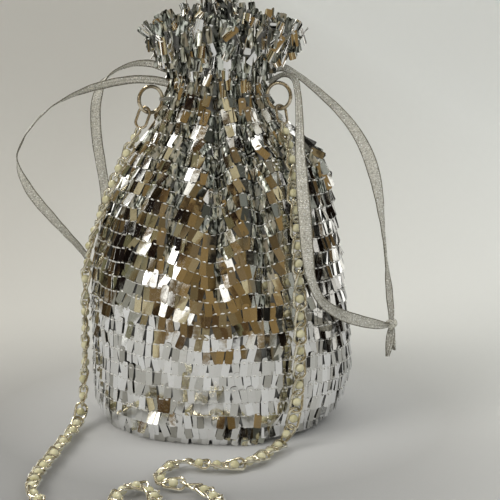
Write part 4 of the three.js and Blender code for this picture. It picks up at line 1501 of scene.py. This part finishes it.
def make_light(name, place, aim, size, power, colour):
    """A soft area light that the mirrors don't see."""
    data = bpy.data.lights.new(name, "AREA")
    data.shape = "RECTANGLE"
    data.size, data.size_y = size
    data.energy = power
    data.color = colour
    made = new_object(name, data)
    made.location = place
    direction = unit(np.array(aim) - np.array(place))
    pitch = math.acos(-direction[2])
    made.rotation_euler = (pitch, 0.0, math.atan2(direction[1], direction[0]) - math.pi / 2)
    made.visible_glossy = False


def sector(tree, azimuth, start, end, soft=0.06):
    """1 between two azimuths in degrees from the front towards +X, fading out over soft radians."""
    low, high = math.radians(start), math.radians(end)
    rising = span(tree, azimuth, low - soft, low + soft)
    return product(tree, rising, span(tree, azimuth, high - soft, high + soft, 1.0, 0.0))


def room_colour(tree, direction):
    """The mirrored room: patches of browns that differ from side to side, a ceiling, windows and a lamp."""
    apart = node(tree, "SeparateXYZ", {"Vector": direction}).outputs
    wander = span(tree, noise(tree, direction, 3.0, 1.0), 0.3, 0.7, -0.14, 0.14)
    azimuth = math_node(tree, "ARCTAN2", apart["X"], product(tree, apart["Y"], -1.0))
    azimuth = math_node(tree, "ADD", azimuth, wander)
    ragged = node(tree, "TexNoise", {"Vector": direction, "Scale": 9.0, "Detail": 2.0}).outputs["Color"]
    shifted = vector_node(tree, "MULTIPLY_ADD", {0: ragged, 1: (0.1, 0.1, 0.1), 2: direction})
    cells = node(tree, "TexVoronoi", {"Vector": shifted, "Scale": ROOM_CELLS}).outputs["Color"]
    patches = node(tree, "SeparateColor", {"Color": cells}).outputs[0]
    room = ramp(tree, patches, ROOM_COLOURS, "CONSTANT")
    for sides, stops in ROOM_SIDES.items():
        room = mixed(tree, sector(tree, azimuth, *sides), room, ramp(tree, patches, stops, "CONSTANT"))
    grain = noise(tree, stretched(tree, direction, 0.06), 300.0, 2.0)
    room = vector_node(tree, "SCALE", {0: room, 3: span(tree, grain, 0.3, 0.7, 0.6, 1.42)})
    ceiling = ramp(tree, noise(tree, direction, 5.0, 2.0), CEILING)
    room = mixed(tree, span(tree, apart["Z"], 0.95, 0.99), room, ceiling)
    panes = [(DARK_DOOR, DARK_COLOUR)] + [(window, WINDOW_COLOUR) for window in WINDOWS]
    for (start, end, low, high), pane_colour in panes:
        lower = span(tree, apart["Z"], low, low + PANE_EDGE)
        upper = span(tree, apart["Z"], high, high - PANE_EDGE)
        pane = product(tree, sector(tree, azimuth, start, end, PANE_SOFT), product(tree, lower, upper))
        room = mixed(tree, pane, room, pane_colour)
    towards = vector_node(tree, "DOT_PRODUCT", {0: direction, 1: unit(LAMP_TOWARDS)}, "Value")
    return mixed(tree, span(tree, towards, 1 - LAMP_SPREAD, 1 - LAMP_SPREAD / 2), room, LAMP_COLOUR)


def make_world():
    """Plain pale to the eye and to the light, with a made-up room that only the mirrors see."""
    world = bpy.data.worlds.new("studio")
    bpy.context.scene.world = world
    world.use_nodes = True
    tree = world.node_tree
    tree.nodes.clear()
    room = room_colour(tree, node(tree, "TexCoord").outputs["Generated"])
    path = node(tree, "LightPath").outputs
    seen = mixed(tree, path["Is Camera Ray"], (0.62, 0.62, 0.61), (0.6, 0.59, 0.56))
    colour = mixed(tree, path["Is Glossy Ray"], seen, room)
    background = node(tree, "Background", {"Color": colour, "Strength": 1.0}).outputs[0]
    node(tree, "OutputWorld", {"Surface": background})


make_camera()
make_drawstrings()
pouch = make_cloth()
make_sequins()
bronze = metal_material("dark_bronze", (0.2, 0.16, 0.1), (0.62, 0.53, 0.38), (0.85, 0.78, 0.62), 1.0)
pale_gold = metal_material("pale_gold", (0.24, 0.2, 0.11), (0.8, 0.75, 0.58), (0.97, 0.95, 0.85), 0.9)
make_hangers(bronze, thread_material("grey_thread", (0.2, 0.19, 0.165), (0.38, 0.365, 0.32)))
make_chain(pale_gold, bead_material())
make_stage()
for light in LIGHTS:
    make_light(*light)
make_world()
bpy.context.scene.view_settings.view_transform = "Standard"
